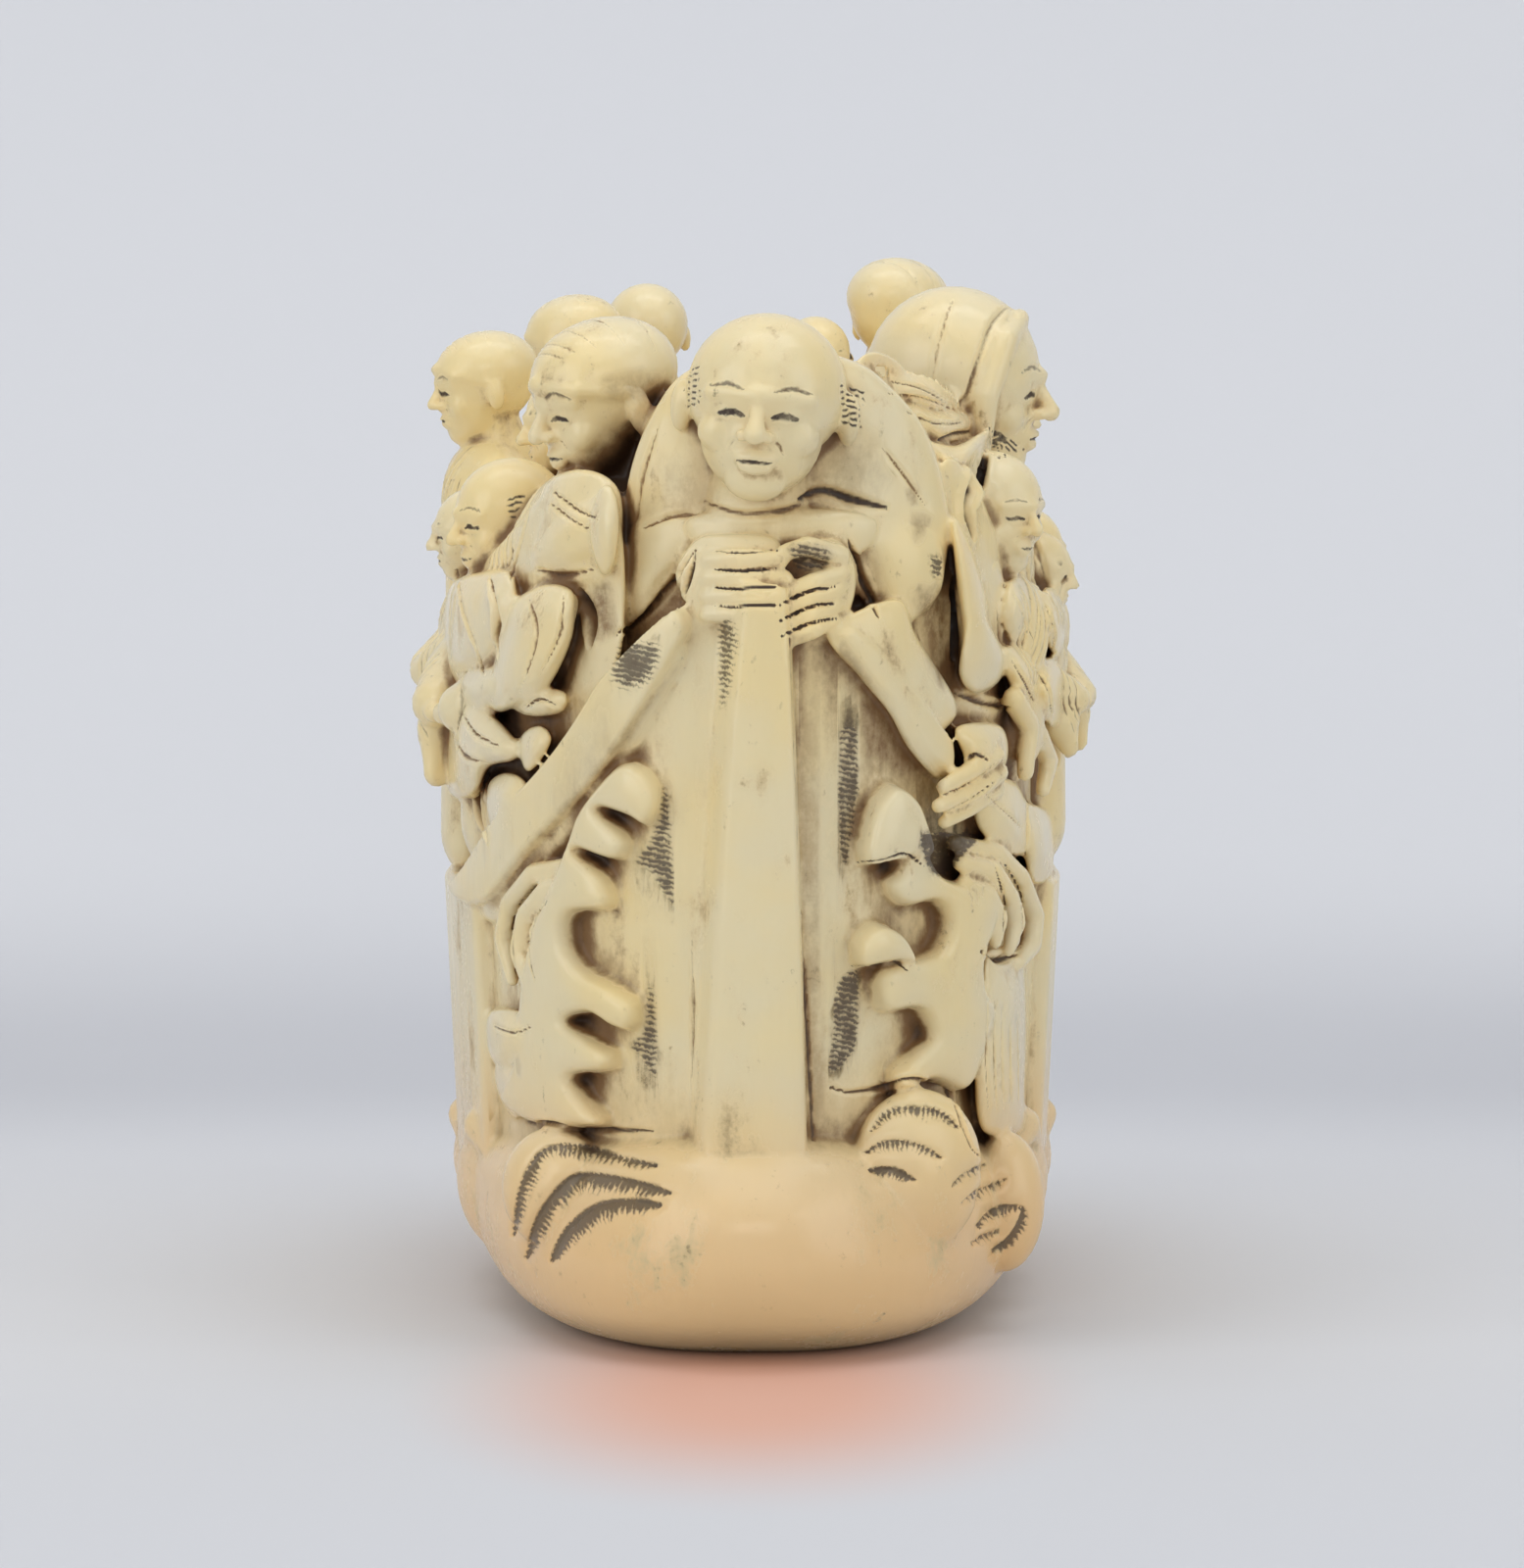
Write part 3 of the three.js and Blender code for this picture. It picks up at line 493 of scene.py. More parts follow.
def head(place, size, gaze=0.0, nod=0.0, hair="shaved", roll=0.0, wide=1.0):
    # a calm, plain face on a round skull, in units of half the head's height
    form = bmesh.new()
    lump(form, (0, 0.10, 0.16), (0.80, 0.92, 0.84), sides=28)
    lump(form, (0, -0.20, -0.25), (0.62, 0.60, 0.72), sides=28)
    lump(form, (0, -0.50, -0.74), (0.32, 0.26, 0.24))
    limb(form, [(-0.48, -0.58, 0.20), (0, -0.79, 0.24), (0.48, -0.58, 0.20)], (0.10, 0.12, 0.10))
    limb(form, [(0, -0.78, 0.16), (0, -0.90, -0.02), (0, -0.98, -0.16)], (0.075, 0.085, 0.115))
    for side in (-1, 1):
        lump(form, (side * 0.36, -0.50, -0.24), (0.26, 0.22, 0.24))
        lump(form, (side * 0.12, -0.86, -0.20), (0.085, 0.10, 0.07))
        lump(form, (side * 0.27, -0.67, 0.02), (0.15, 0.09, 0.085))
        lump(form, (side * 0.84, 0.12, -0.10), (0.12, 0.17, 0.30))
    limb(form, [(-0.17, -0.76, -0.46), (0, -0.82, -0.44), (0.17, -0.76, -0.46)], (0.05, 0.065, 0.05))
    limb(form, [(-0.13, -0.76, -0.56), (0, -0.80, -0.57), (0.13, -0.76, -0.56)], (0.05, 0.065, 0.05))
    limb(form, [(0, 0.12, -0.5), (0, 0.25, -1.5)], (0.46, 0.6))
    matrix = pose(place, gaze, nod, roll) @ Matrix.Diagonal((size * wide, size, size, 1))
    fine = 0.055 * size
    for side in (-1, 1):
        cut([(side * 0.13, -0.78, 0.0), (side * 0.27, -0.78, 0.03), (side * 0.41, -0.68, -0.01)], fine, 0.45 * fine, 0.95, matrix=matrix)
        cut([(side * 0.14, -0.82, 0.30), (side * 0.34, -0.78, 0.36), (side * 0.52, -0.62, 0.28)], fine * 0.8, 0.2 * fine, 0.55, matrix=matrix)
        cut([(side * 0.16, -0.92, -0.14), (side * 0.26, -0.84, -0.30), (side * 0.30, -0.74, -0.42)], fine * 0.7, 0.4 * fine, 0.3, matrix=matrix)
    cut([(-0.20, -0.80, -0.505), (0, -0.88, -0.50), (0.20, -0.80, -0.505)], fine * 0.7, 0.5 * fine, 0.8, matrix=matrix)
    if hair == "cap":
        lump(form, (0, 0.14, 0.36), (0.87, 0.98, 0.72), sides=28)
        limb(form, [(-0.80, 0.0, 0.18), (-0.60, -0.56, 0.36), (0, -0.80, 0.48), (0.60, -0.56, 0.36), (0.80, 0.0, 0.18)],
             (0.09, 0.10, 0.12, 0.10, 0.09))
        for k in range(5):
            along = 0.9 - 0.32 * k
            cut([(x, 0.1 - along * math.cos(x), 1.06 - 0.5 * x * x - 0.12 * k) for x in (-0.7, -0.3, 0.1, 0.5)],
                fine * 0.7, 0.3 * fine, 0.35, matrix=matrix)
    if hair == "hood":
        lump(form, (0, 0.20, 0.16), (0.97, 1.02, 1.02), sides=28)
        limb(form, [(0, 0.55, -0.2), (0, 0.62, -1.2)], (0.85, 0.80))
        for side in (-1, 1):
            limb(form, [(0, -0.50, 0.88), (side * 0.58, -0.42, 0.64), (side * 0.82, -0.28, 0.0), (side * 0.74, -0.22, -0.85)],
                 (0.12, 0.14, 0.15, 0.16))
            cut([(0, -0.45, 1.12), (side * 0.66, -0.24, 0.8), (side * 0.98, -0.08, 0.0), (side * 0.86, 0.0, -0.85)],
                fine, 0.7 * fine, 0.4, matrix=matrix)
            cut([(side * 0.5, 0.25, 1.1), (side * 0.98, 0.35, 0.35), (side * 0.95, 0.4, -0.7)], fine, 0.5 * fine, 0.25, matrix=matrix)
    if hair == "topknot":
        limb(form, [(0, 0.75, 0.95), (0, 0.35, 1.10), (0, -0.05, 1.05)], (0.15, 0.20, 0.13))
    if hair in ("topknot", "eared", "shaved"):
        rows = {"topknot": 9, "eared": 6, "shaved": 0}[hair]
        for side in (-1, 1):
            for k in range(rows):
                up = 0.42 - 0.11 * k
                cut([(side * 0.80, -0.28, up), (side * 0.92, 0.1, up + 0.06), (side * 0.80, 0.6, up + 0.02)],
                    fine * 0.8, 0.35 * fine, 0.75, matrix=matrix)
    bmesh.ops.transform(form, matrix=matrix, verts=form.verts)
    forms.append(asMesh(form, "head"))


# Passengers

crowd = [
    {"at": (-5.3, -10.6, 32.4), "size": 2.75, "gaze": -62, "nod": 14, "hair": "cap", "seat": 25, "arms": False},
    {"at": (-6.5, -4.0, 31.4), "size": 1.9, "gaze": -75, "seat": 27, "arms": False},
    {"at": (-9.9, 4.5, 32.3), "size": 1.95, "gaze": -80, "hair": "cap", "seat": 17, "arms": False},
    {"at": (-6.8, 11.8, 33.4), "size": 1.95, "gaze": -120, "hair": "cap", "seat": 26, "arms": False},
    {"at": (-4.1, 16.0, 33.9), "size": 1.9, "gaze": -150, "seat": 26, "arms": False},
    {"at": (-8.7, -6.3, 28.1), "size": 2.2, "gaze": -68, "hair": "eared", "seat": 17.5},
    {"at": (-10.1, -0.4, 27.3), "size": 1.65, "gaze": -88, "seat": 16.5},
    {"at": (-9.7, 7.9, 26.6), "size": 1.6, "gaze": -98, "hair": "topknot", "seat": 16.5},
    {"at": (-8.4, 11.4, 27.6), "size": 1.75, "gaze": -115, "hair": "hood", "seat": 17.5},
    {"at": (-5.6, 15.6, 28.2), "size": 1.8, "gaze": -135, "seat": 19.5},
    {"at": (7.7, -5.0, 32.7), "size": 3.05, "gaze": 84, "nod": 6, "hair": "hood", "seat": 25, "arms": False},
    {"at": (8.5, 4.4, 31.6), "size": 2.0, "gaze": 95, "hair": "cap", "seat": 25, "arms": False},
    {"at": (5.6, 13.6, 34.5), "size": 2.15, "gaze": 140, "hair": "cap", "seat": 26, "arms": False},
    {"at": (2.4, 11.5, 33.1), "size": 1.6, "gaze": 20, "hair": "eared", "seat": 29, "arms": False},
    {"at": (8.5, -9.4, 28.6), "size": 2.1, "gaze": 48, "nod": 8, "seat": 21, "arms": False},
    {"at": (10.2, -2.4, 26.0), "size": 1.5, "gaze": 80, "seat": 17},
    {"at": (9.9, 2.6, 26.4), "size": 1.7, "gaze": 92, "hair": "eared", "seat": 16.5},
    {"at": (9.2, 8.2, 27.2), "size": 1.75, "gaze": 105, "hair": "cap", "seat": 16.5},
    {"at": (7.2, 13.4, 28.0), "size": 1.8, "gaze": 125, "hair": "hood", "seat": 18.5},
    {"at": (0.6, 18.0, 30.2), "size": 2.2, "gaze": 178, "nod": 12, "seat": 23},
]


def passenger(at, size, gaze, seat, nod=8, hair="shaved", arms=True):
    head(at, size, gaze, nod, hair)
    form = bmesh.new()
    shoulder = at[2] - 1.35 * size
    matrix = pose((at[0], at[1], shoulder), gaze) @ Matrix.Scale(size, 4)
    down = (shoulder - seat) / size
    lump(form, (0, 0.15, -0.75), (1.18, 0.92, 1.25), sides=28)
    limb(form, [(-0.85, 0.15, -0.35), (0, 0.2, -0.05), (0.85, 0.15, -0.35)], (0.50, 0.55, 0.50))
    limb(form, [(0, 0.2, -1.2), (0, 0.25, -down)], (1.05, 1.15), thin=0.85, sides=28)
    fine = 0.06 * size
    for side in (-1, 1):
        cut([(side * 0.42, -0.28, 0.42), (side * 0.22, -0.72, -0.15), (-side * 0.12, -0.82, -0.75)], fine, 0.8 * fine, 0.5, matrix=matrix)
        cut([(side * 0.60, -0.22, 0.30), (side * 0.42, -0.72, -0.25), (side * 0.10, -0.82, -0.95)], fine * 0.8, 0.5 * fine, 0.35, matrix=matrix)
        if arms:
            limb(form, [(side * 1.0, 0.1, -0.45), (side * 1.28, -0.35, -1.25), (side * 0.62, -0.98, -1.62)], (0.50, 0.60, 0.42))
            limb(form, [(side * 1.25, -0.30, -1.35), (side * 1.02, -0.72, -2.1), (side * 0.82, -0.92, -2.75)],
                 (0.62, 0.52, 0.26), thin=0.75, facing=(side, -0.6, 0))
            limb(form, [(side * 0.60, -1.0, -1.62), (side * 0.22, -1.16, -1.72)], (0.26, 0.20))
            for k in range(3):
                cut([(side * (1.32 - 0.18 * k), -0.42 - 0.2 * k, -0.9), (side * (1.30 - 0.16 * k), -0.75 - 0.14 * k, -1.7),
                     (side * (1.0 - 0.1 * k), -1.02, -2.4 + 0.12 * k)], fine, 0.7 * fine, 0.45, matrix=matrix)
        else:
            for k in range(3):
                cut([(side * (0.95 - 0.2 * k), -0.5 - 0.1 * k, -0.2), (side * (0.9 - 0.3 * k), -0.85, -0.9),
                     (side * (0.5 - 0.3 * k), -0.95, -1.5)], fine, 0.6 * fine, 0.35, matrix=matrix)
    bmesh.ops.transform(form, matrix=matrix, verts=form.verts)
    forms.append(asMesh(form, "passenger"))


def crowdCore():
    form = bmesh.new()
    rings = [(12, 9.4, 17.6), (20, 9.5, 17.2), (25.5, 8.8, 16.4), (28.8, 7.4, 15.0), (30.8, 5.0, 12.6)]
    skin(form, [oval(z, a, b, 1, 96) + np.array([0, 1.4, 0]) for z, a, b in smoothLine(rings, step=1.0)])
    for side in (-1, 1):
        lump(form, (side * 6.1, -10.4, 24.5), (2.9, 3.4, 5.6), sides=28)
    forms.append(asMesh(form, "core"))


for person in crowd:
    passenger(**person)
crowdCore()
print("passengers seated")

# The passenger at the bow

leader = {
    "head": (0.45, -19.3, 32.75),
    "cape": [(-2.1, 34.0), (-3.3, 32.6), (-4.1, 30.6), (-4.5, 27.9), (-4.75, 25.9), (-4.85, 24.9), (-4.1, 25.4), (-2.8, 26.7),
             (-1.9, 27.9), (-0.8, 28.7), (1.5, 28.9), (3.1, 28.5), (3.6, 27.2), (4.2, 25.7), (5.1, 25.3), (6.2, 26.1),
             (6.65, 27.9), (6.6, 29.6), (5.9, 31.9), (4.7, 33.4), (3.4, 34.3), (0.6, 34.9)],
    "body": [(-2.6, 33.0), (-3.2, 29.0), (-2.9, 26.2), (-1.0, 25.4), (3.0, 25.3), (4.6, 26.6), (5.2, 29.5), (4.4, 33.0), (1.0, 34.0)],
}


def onLeader(x, z, out):
    # a surface that bends back at both sides, out from it towards the bow
    return fromBow(x, z, -17.9 + 0.055 * (x - 0.8) ** 2 - out)


def leaderForm():
    head(leader["head"], 3.1, gaze=-6, nod=7, hair="bald", roll=5, wide=1.1)
    form = bmesh.new()
    relief(form, leader["body"], 0.0, 0.9, back=-6.5, place=onLeader)
    relief(form, leader["cape"], 0.2, 0.9, back=-5.5, edge=0.5, place=onLeader)
    # the inside of the port sleeve below its hem, and the starboard sleeve's rounded end
    relief(form, [(-4.4, 25.1), (-2.8, 25.5), (-1.9, 26.0), (-1.6, 27.6), (-2.8, 26.4), (-3.6, 25.7)], -0.3, 0.6, back=-4, place=onLeader)
    relief(form, [(3.7, 28.6), (4.9, 28.9), (6.3, 28.3), (6.5, 26.8), (5.9, 25.8), (5.0, 25.3), (4.3, 25.9), (3.9, 27.2)],
           0.7, 0.7, back=-3, edge=0.6, place=onLeader)
    relief(form, [(-3.9, 28.9), (-2.4, 29.4), (-1.2, 28.9), (-1.6, 27.9), (-2.8, 26.8), (-3.9, 25.6), (-4.4, 26.2), (-4.3, 27.8)],
           0.7, 0.7, back=-3, edge=0.6, place=onLeader)
    # forearms cross the chest under the chin
    relief(form, [(-2.2, 28.9), (0.5, 29.3), (3.8, 29.1), (4.2, 28.3), (3.0, 27.6), (-1.2, 27.7)], 1.3, 0.7, back=-3, edge=0.5, place=onLeader)
    # hands, laid one over the other on the stem
    relief(form, [(-2.5, 27.2), (-1.9, 28.2), (-0.9, 28.4), (0.7, 28.3), (1.15, 27.5), (1.1, 26.3), (0.4, 25.5), (-1.2, 25.4),
                  (-2.2, 26.1)], 2.3, 0.6, back=-1, edge=0.6, place=onLeader)
    relief(form, [(0.9, 27.3), (1.8, 28.1), (2.9, 28.2), (3.5, 27.3), (3.4, 26.0), (2.7, 24.9), (1.6, 24.5), (0.7, 24.9), (0.8, 26.2)],
           2.2, 0.5, back=-1, edge=0.6, place=onLeader)
    for i in range(4):
        level, reach = 27.55 - 0.62 * i, 0.2 * math.sin(math.pi * (i + 0.5) / 4)
        limb(form, [onLeader(-1.5, level, 2.7), onLeader(-0.3, level + 0.05, 3.15), onLeader(0.95 + reach, level, 2.95)], (0.3, 0.34, 0.27))
        level = 26.9 - 0.55 * i
        limb(form, [onLeader(3.1 - 0.12 * i, level + 0.25, 2.5), onLeader(2.1, level - 0.1, 3.05), onLeader(0.95, level - 0.55, 2.85)],
             (0.28, 0.32, 0.26))
    limb(form, [onLeader(3.0, 27.7, 2.5), onLeader(1.9, 28.0, 3.0), onLeader(1.1, 27.8, 3.0)], (0.36, 0.36, 0.28))
    forms.append(asMesh(form, "leader"))


leaderForm()
print("leader placed")

# Sleeves, hands and cloth beside the bow

# Outlines seen from the front, how far out from the hull's side their edge stands, and how far they bulge beyond it.
cloths = [
    # port: the second passenger's chest, forearm, an oval bundle, and the big sleeve
    ([(-6.9, 30.2), (-5.6, 30.6), (-4.5, 29.9), (-4.4, 27.9), (-4.7, 26.2), (-6.9, 26.2), (-8.1, 26.1), (-7.9, 27.6), (-7.5, 28.9)], -0.8, 0.9),
    ([(-4.8, 29.7), (-4.6, 28.4), (-5.5, 27.5), (-7.0, 27.1), (-7.5, 27.7), (-6.9, 28.7), (-5.8, 29.5)], -0.2, 0.7),
    ([(-5.0, 30.1), (-4.6, 29.7), (-4.5, 28.5), (-4.7, 27.3), (-5.05, 27.0), (-5.4, 27.8), (-5.5, 29.0)], 0.5, 0.7),
    ([(-7.0, 26.7), (-8.1, 26.1), (-8.5, 25.1), (-8.85, 23.5), (-8.8, 22.4), (-8.1, 22.5), (-7.0, 23.1), (-6.2, 24.6), (-6.0, 25.7),
      (-6.1, 26.5)], 0.4, 1.1),
    ([(-7.9, 22.9), (-7.1, 23.2), (-6.3, 23.0), (-6.4, 22.4), (-7.3, 22.2), (-8.0, 22.4)], 0.3, 0.5),
    # port: the third passenger's robe, cuff and the cloth that hangs to the rail
    ([(-9.2, 27.1), (-10.1, 26.8), (-10.5, 25.7), (-10.6, 24.2), (-10.3, 23.3), (-9.4, 23.6), (-8.7, 24.1), (-8.0, 26.0),
      (-8.1, 27.0), (-8.6, 27.2)], 0.1, 0.9),
    ([(-10.0, 23.5), (-8.9, 23.9), (-8.1, 23.6), (-8.3, 22.9), (-9.2, 22.4), (-9.9, 22.6)], 0.5, 0.6),
    ([(-10.1, 22.7), (-10.4, 21.6), (-10.4, 19.9), (-10.0, 19.4), (-9.4, 19.6), (-8.9, 20.5), (-8.1, 20.7), (-7.9, 21.2),
      (-8.7, 22.2), (-9.6, 23.0)], 0.3, 0.8),
    ([(-7.8, 21.6), (-7.2, 21.9), (-6.8, 21.5), (-7.1, 20.8), (-7.6, 20.3), (-7.85, 20.8)], 0.6, 0.5),
    ([(-8.9, 20.0), (-8.2, 20.3), (-7.6, 19.8), (-8.1, 18.6), (-8.7, 18.2), (-9.0, 19.0)], 0.3, 0.7),
    # starboard: a head-cloth in three leaves with a pointed end
    ([(3.4, 33.9), (4.0, 34.6), (4.9, 34.3), (5.3, 33.6), (4.4, 33.2)], -3.3, 0.7),
    ([(4.5, 33.4), (5.2, 33.9), (6.2, 33.7), (7.0, 33.1), (7.3, 32.4), (6.6, 32.4), (5.4, 32.8)], -2.8, 0.8),
    ([(5.2, 32.8), (6.2, 32.6), (7.4, 32.5), (7.7, 31.9), (6.8, 31.2), (5.9, 31.4)], -2.5, 0.9),
    ([(5.9, 31.5), (6.9, 31.4), (7.5, 31.7), (8.1, 32.0), (7.9, 31.3), (7.5, 30.6), (7.3, 29.7), (6.9, 29.1), (6.5, 29.8),
      (6.2, 30.6)], -1.4, 0.7),
    # starboard: the tall sleeve, and cloth below
    ([(6.8, 29.0), (7.35, 28.2), (7.9, 26.5), (8.1, 25.4), (8.55, 24.3), (8.4, 23.4), (7.6, 23.0), (7.05, 23.6), (7.15, 25.0),
      (6.95, 26.8)], 0.4, 0.8),
    ([(6.7, 23.4), (8.0, 23.2), (8.9, 22.9), (8.9, 22.0), (7.6, 21.7), (6.7, 22.3)], -0.4, 0.5),
    ([(6.9, 21.8), (7.8, 22.0), (8.55, 21.8), (8.7, 20.8), (8.2, 19.9), (7.4, 20.1), (7.2, 20.9)], 0.8, 0.7),
    ([(7.6, 19.6), (8.6, 20.1), (9.2, 19.6), (9.4, 18.4), (9.3, 17.5), (8.6, 17.6), (7.7, 18.4)], 0.4, 0.6),
    ([(9.2, 19.1), (10.0, 19.0), (10.25, 18.2), (10.2, 16.8), (9.6, 16.5), (9.3, 17.4)], 0.3, 0.5),
    # starboard: shoulders, sleeves and laps of the passengers along the side
    ([(8.8, 26.9), (9.6, 26.6), (10.0, 25.6), (9.6, 24.6), (8.9, 24.4), (8.5, 25.6)], 0.0, 0.7),
    ([(8.6, 24.6), (9.7, 24.4), (10.2, 23.5), (10.0, 22.6), (9.2, 22.5), (8.7, 23.4)], 0.2, 0.7),
    ([(10.0, 26.6), (10.7, 26.0), (10.8, 24.8), (10.4, 24.2), (9.8, 25.2)], 0.4, 0.6),
    ([(9.9, 24.2), (10.5, 23.9), (10.6, 22.4), (10.2, 21.8), (9.7, 22.8)], 0.5, 0.6),
]
# The ground that those forms stand on, lower than their edges.
grounds = [
    ([(-4.4, 24.6), (-4.4, 28.5), (-5.2, 30.4), (-6.8, 30.0), (-8.2, 28.4), (-9.3, 26.8), (-9.5, 23.0), (-9.4, 19.5),
      (-8.6, 17.2), (-6.9, 19.0), (-5.4, 21.6)], -0.4),
    ([(-4.7, 23.8), (-4.5, 25.6), (-3.4, 26.6), (-1.8, 27.4), (-1.2, 26.0), (-1.6, 24.6), (-3.2, 24.2)], -1.8),
    ([(5.4, 25.4), (6.0, 29.0), (6.6, 31.0), (7.6, 30.0), (8.6, 27.6), (9.4, 25.5), (9.5, 21.0), (9.3, 17.5), (8.0, 18.0),
      (6.8, 19.6), (6.4, 22.0)], -0.45),
]
# Fingers over the starboard rail: (x, z) along each, thickness and how far out.
fingers = [
    ([(8.3, 20.9), (7.5, 20.4), (6.5, 19.8)], 0.34, 1.2), ([(8.4, 20.3), (7.6, 19.7), (6.35, 19.15)], 0.36, 1.15),
    ([(8.3, 19.7), (7.4, 19.1), (6.55, 18.6)], 0.33, 1.0), ([(8.9, 22.8), (9.4, 21.9), (9.3, 20.3)], 0.42, 0.6),
    ([(9.75, 21.6), (10.1, 20.7), (9.9, 19.7)], 0.36, 0.5), ([(10.2, 22.9), (10.35, 21.8), (10.3, 20.6)], 0.34, 0.4),
]


def besideTheBow():
    form = bmesh.new()
    for outline, out, bulge in cloths:
        relief(form, outline, out, bulge)
    for outline, out in grounds:
        relief(form, outline, out, 0.3, back=-5)
    relief(form, railAt["starboard"], 0.5, 0.4)
    for line, thick, out in fingers:
        limb(form, [onBoat(x, z, out) for x, z in line], (thick, thick, 0.75 * thick), sides=14)
    forms.append(asMesh(form, "beside the bow"))


besideTheBow()
print("sleeves hung")


# Fusing, smoothing and carving

def fused():
    form = bmesh.new()
    for mesh in forms:
        form.from_mesh(mesh)
        bpy.data.meshes.remove(mesh)
    thing = bpy.data.objects.new("clay", asMesh(form, "clay"))
    bpy.context.scene.collection.objects.link(thing)
    melt = thing.modifiers.new("melt", "REMESH")
    melt.mode = "VOXEL"
    melt.voxel_size = carving["voxel"]
    soften = thing.modifiers.new("soften", "SMOOTH")
    soften.factor = 0.5
    soften.iterations = 3
    mesh = evaluated(thing, "netsuke")
    bpy.data.objects.remove(thing)
    return mesh


clay = fused()
print("fused:", len(clay.vertices), "points")

# Lines cut into the bow, as (x, z) in the bow's plane


def bowCuts():
    # the creases where the wave lobes end
    for line in (
        [(-7.7, 8.3), (-6.9, 8.3), (-5.0, 8.07), (-3.4, 8.0)],
        [(2.7, 9.5), (3.4, 9.35), (4.6, 9.55), (5.3, 9.8), (6.3, 9.6), (6.8, 9.2), (7.2, 8.2), (7.55, 7.4), (7.9, 7.1)],
    ):
        cut(line, 0.14, 0.2, 0.55, taper=0.5, fromFront=True)
    # the channel beside the stem, and the worn line on its port side
    cut([(1.3, 24.9), (1.5, 20.0), (1.7, 15.0), (1.95, 10.5), (2.1, 7.7)], 0.12, 0.1, 0.55, taper=0.3, fromFront=True)
    cut([(-2.05, 14.6), (-2.0, 12.0), (-2.1, 9.2)], 0.12, 0.08, 0.35, taper=0.8, fromFront=True)
    # the lower edges of the flaps
    cut([(3.5, 17.2), (4.5, 17.3), (5.2, 17.5), (5.9, 17.1)], 0.1, 0.12, 0.85, fromFront=True)
    cut([(3.4, 13.65), (4.1, 13.7), (4.8, 13.85), (5.35, 13.5)], 0.1, 0.12, 0.85, fromFront=True)


def robeCuts():
    # the robe's openings and folds at the bow: line, width, depth, ink
    lines = [
        ([(-4.6, 25.0), (-3.9, 25.5), (-2.8, 26.6), (-1.95, 27.9)], 0.17, 0.35, 0.55),
        ([(-1.9, 27.9), (-2.1, 27.0), (-2.4, 26.1)], 0.14, 0.3, 0.6),
        ([(-3.7, 28.6), (-2.8, 29.0), (-1.8, 29.1)], 0.14, 0.16, 0.2),
        ([(3.3, 28.2), (3.7, 27.0), (4.3, 25.6)], 0.17, 0.3, 0.55),
        ([(1.6, 29.6), (2.4, 29.9), (3.4, 29.6), (4.6, 29.3)], 0.24, 0.25, 0.7),
        ([(-1.6, 29.5), (-0.4, 29.1), (1.0, 29.2), (1.8, 29.5)], 0.18, 0.2, 0.35),
        ([(4.4, 31.4), (5.2, 30.4), (5.9, 29.4)], 0.14, 0.12, 0.15),
        ([(-3.2, 32.0), (-3.7, 30.4), (-3.9, 28.9)], 0.14, 0.12, 0.1),
    ]
    for line, width, depth, ink in lines:
        cut(line, width, depth, ink, fromFront=True)
    for i in range(4):
        level = 27.85 - 0.62 * i
        cut([(-1.3, level), (-0.4, level - 0.04), (0.85, level + 0.02)], 0.085, 0.2, 0.95, fromFront=True)
        level = 26.6 - 0.55 * i
        if i < 3:
            cut([(0.95, level - 0.6), (1.9, level - 0.15), (2.9, level + 0.05)], 0.085, 0.2, 0.9, fromFront=True)
    # hair left over the leader's ears, in short painted strokes
    for i in range(7):
        z = 34.0 - 0.2 * i
        cut([(-2.3, z - 0.1), (-1.75, z + 0.1)], 0.06, 0.03, 0.75, fromFront=True)
        cut([(3.0, z - 0.55), (3.8, z - 0.8)], 0.075, 0.03, 0.85, fromFront=True)


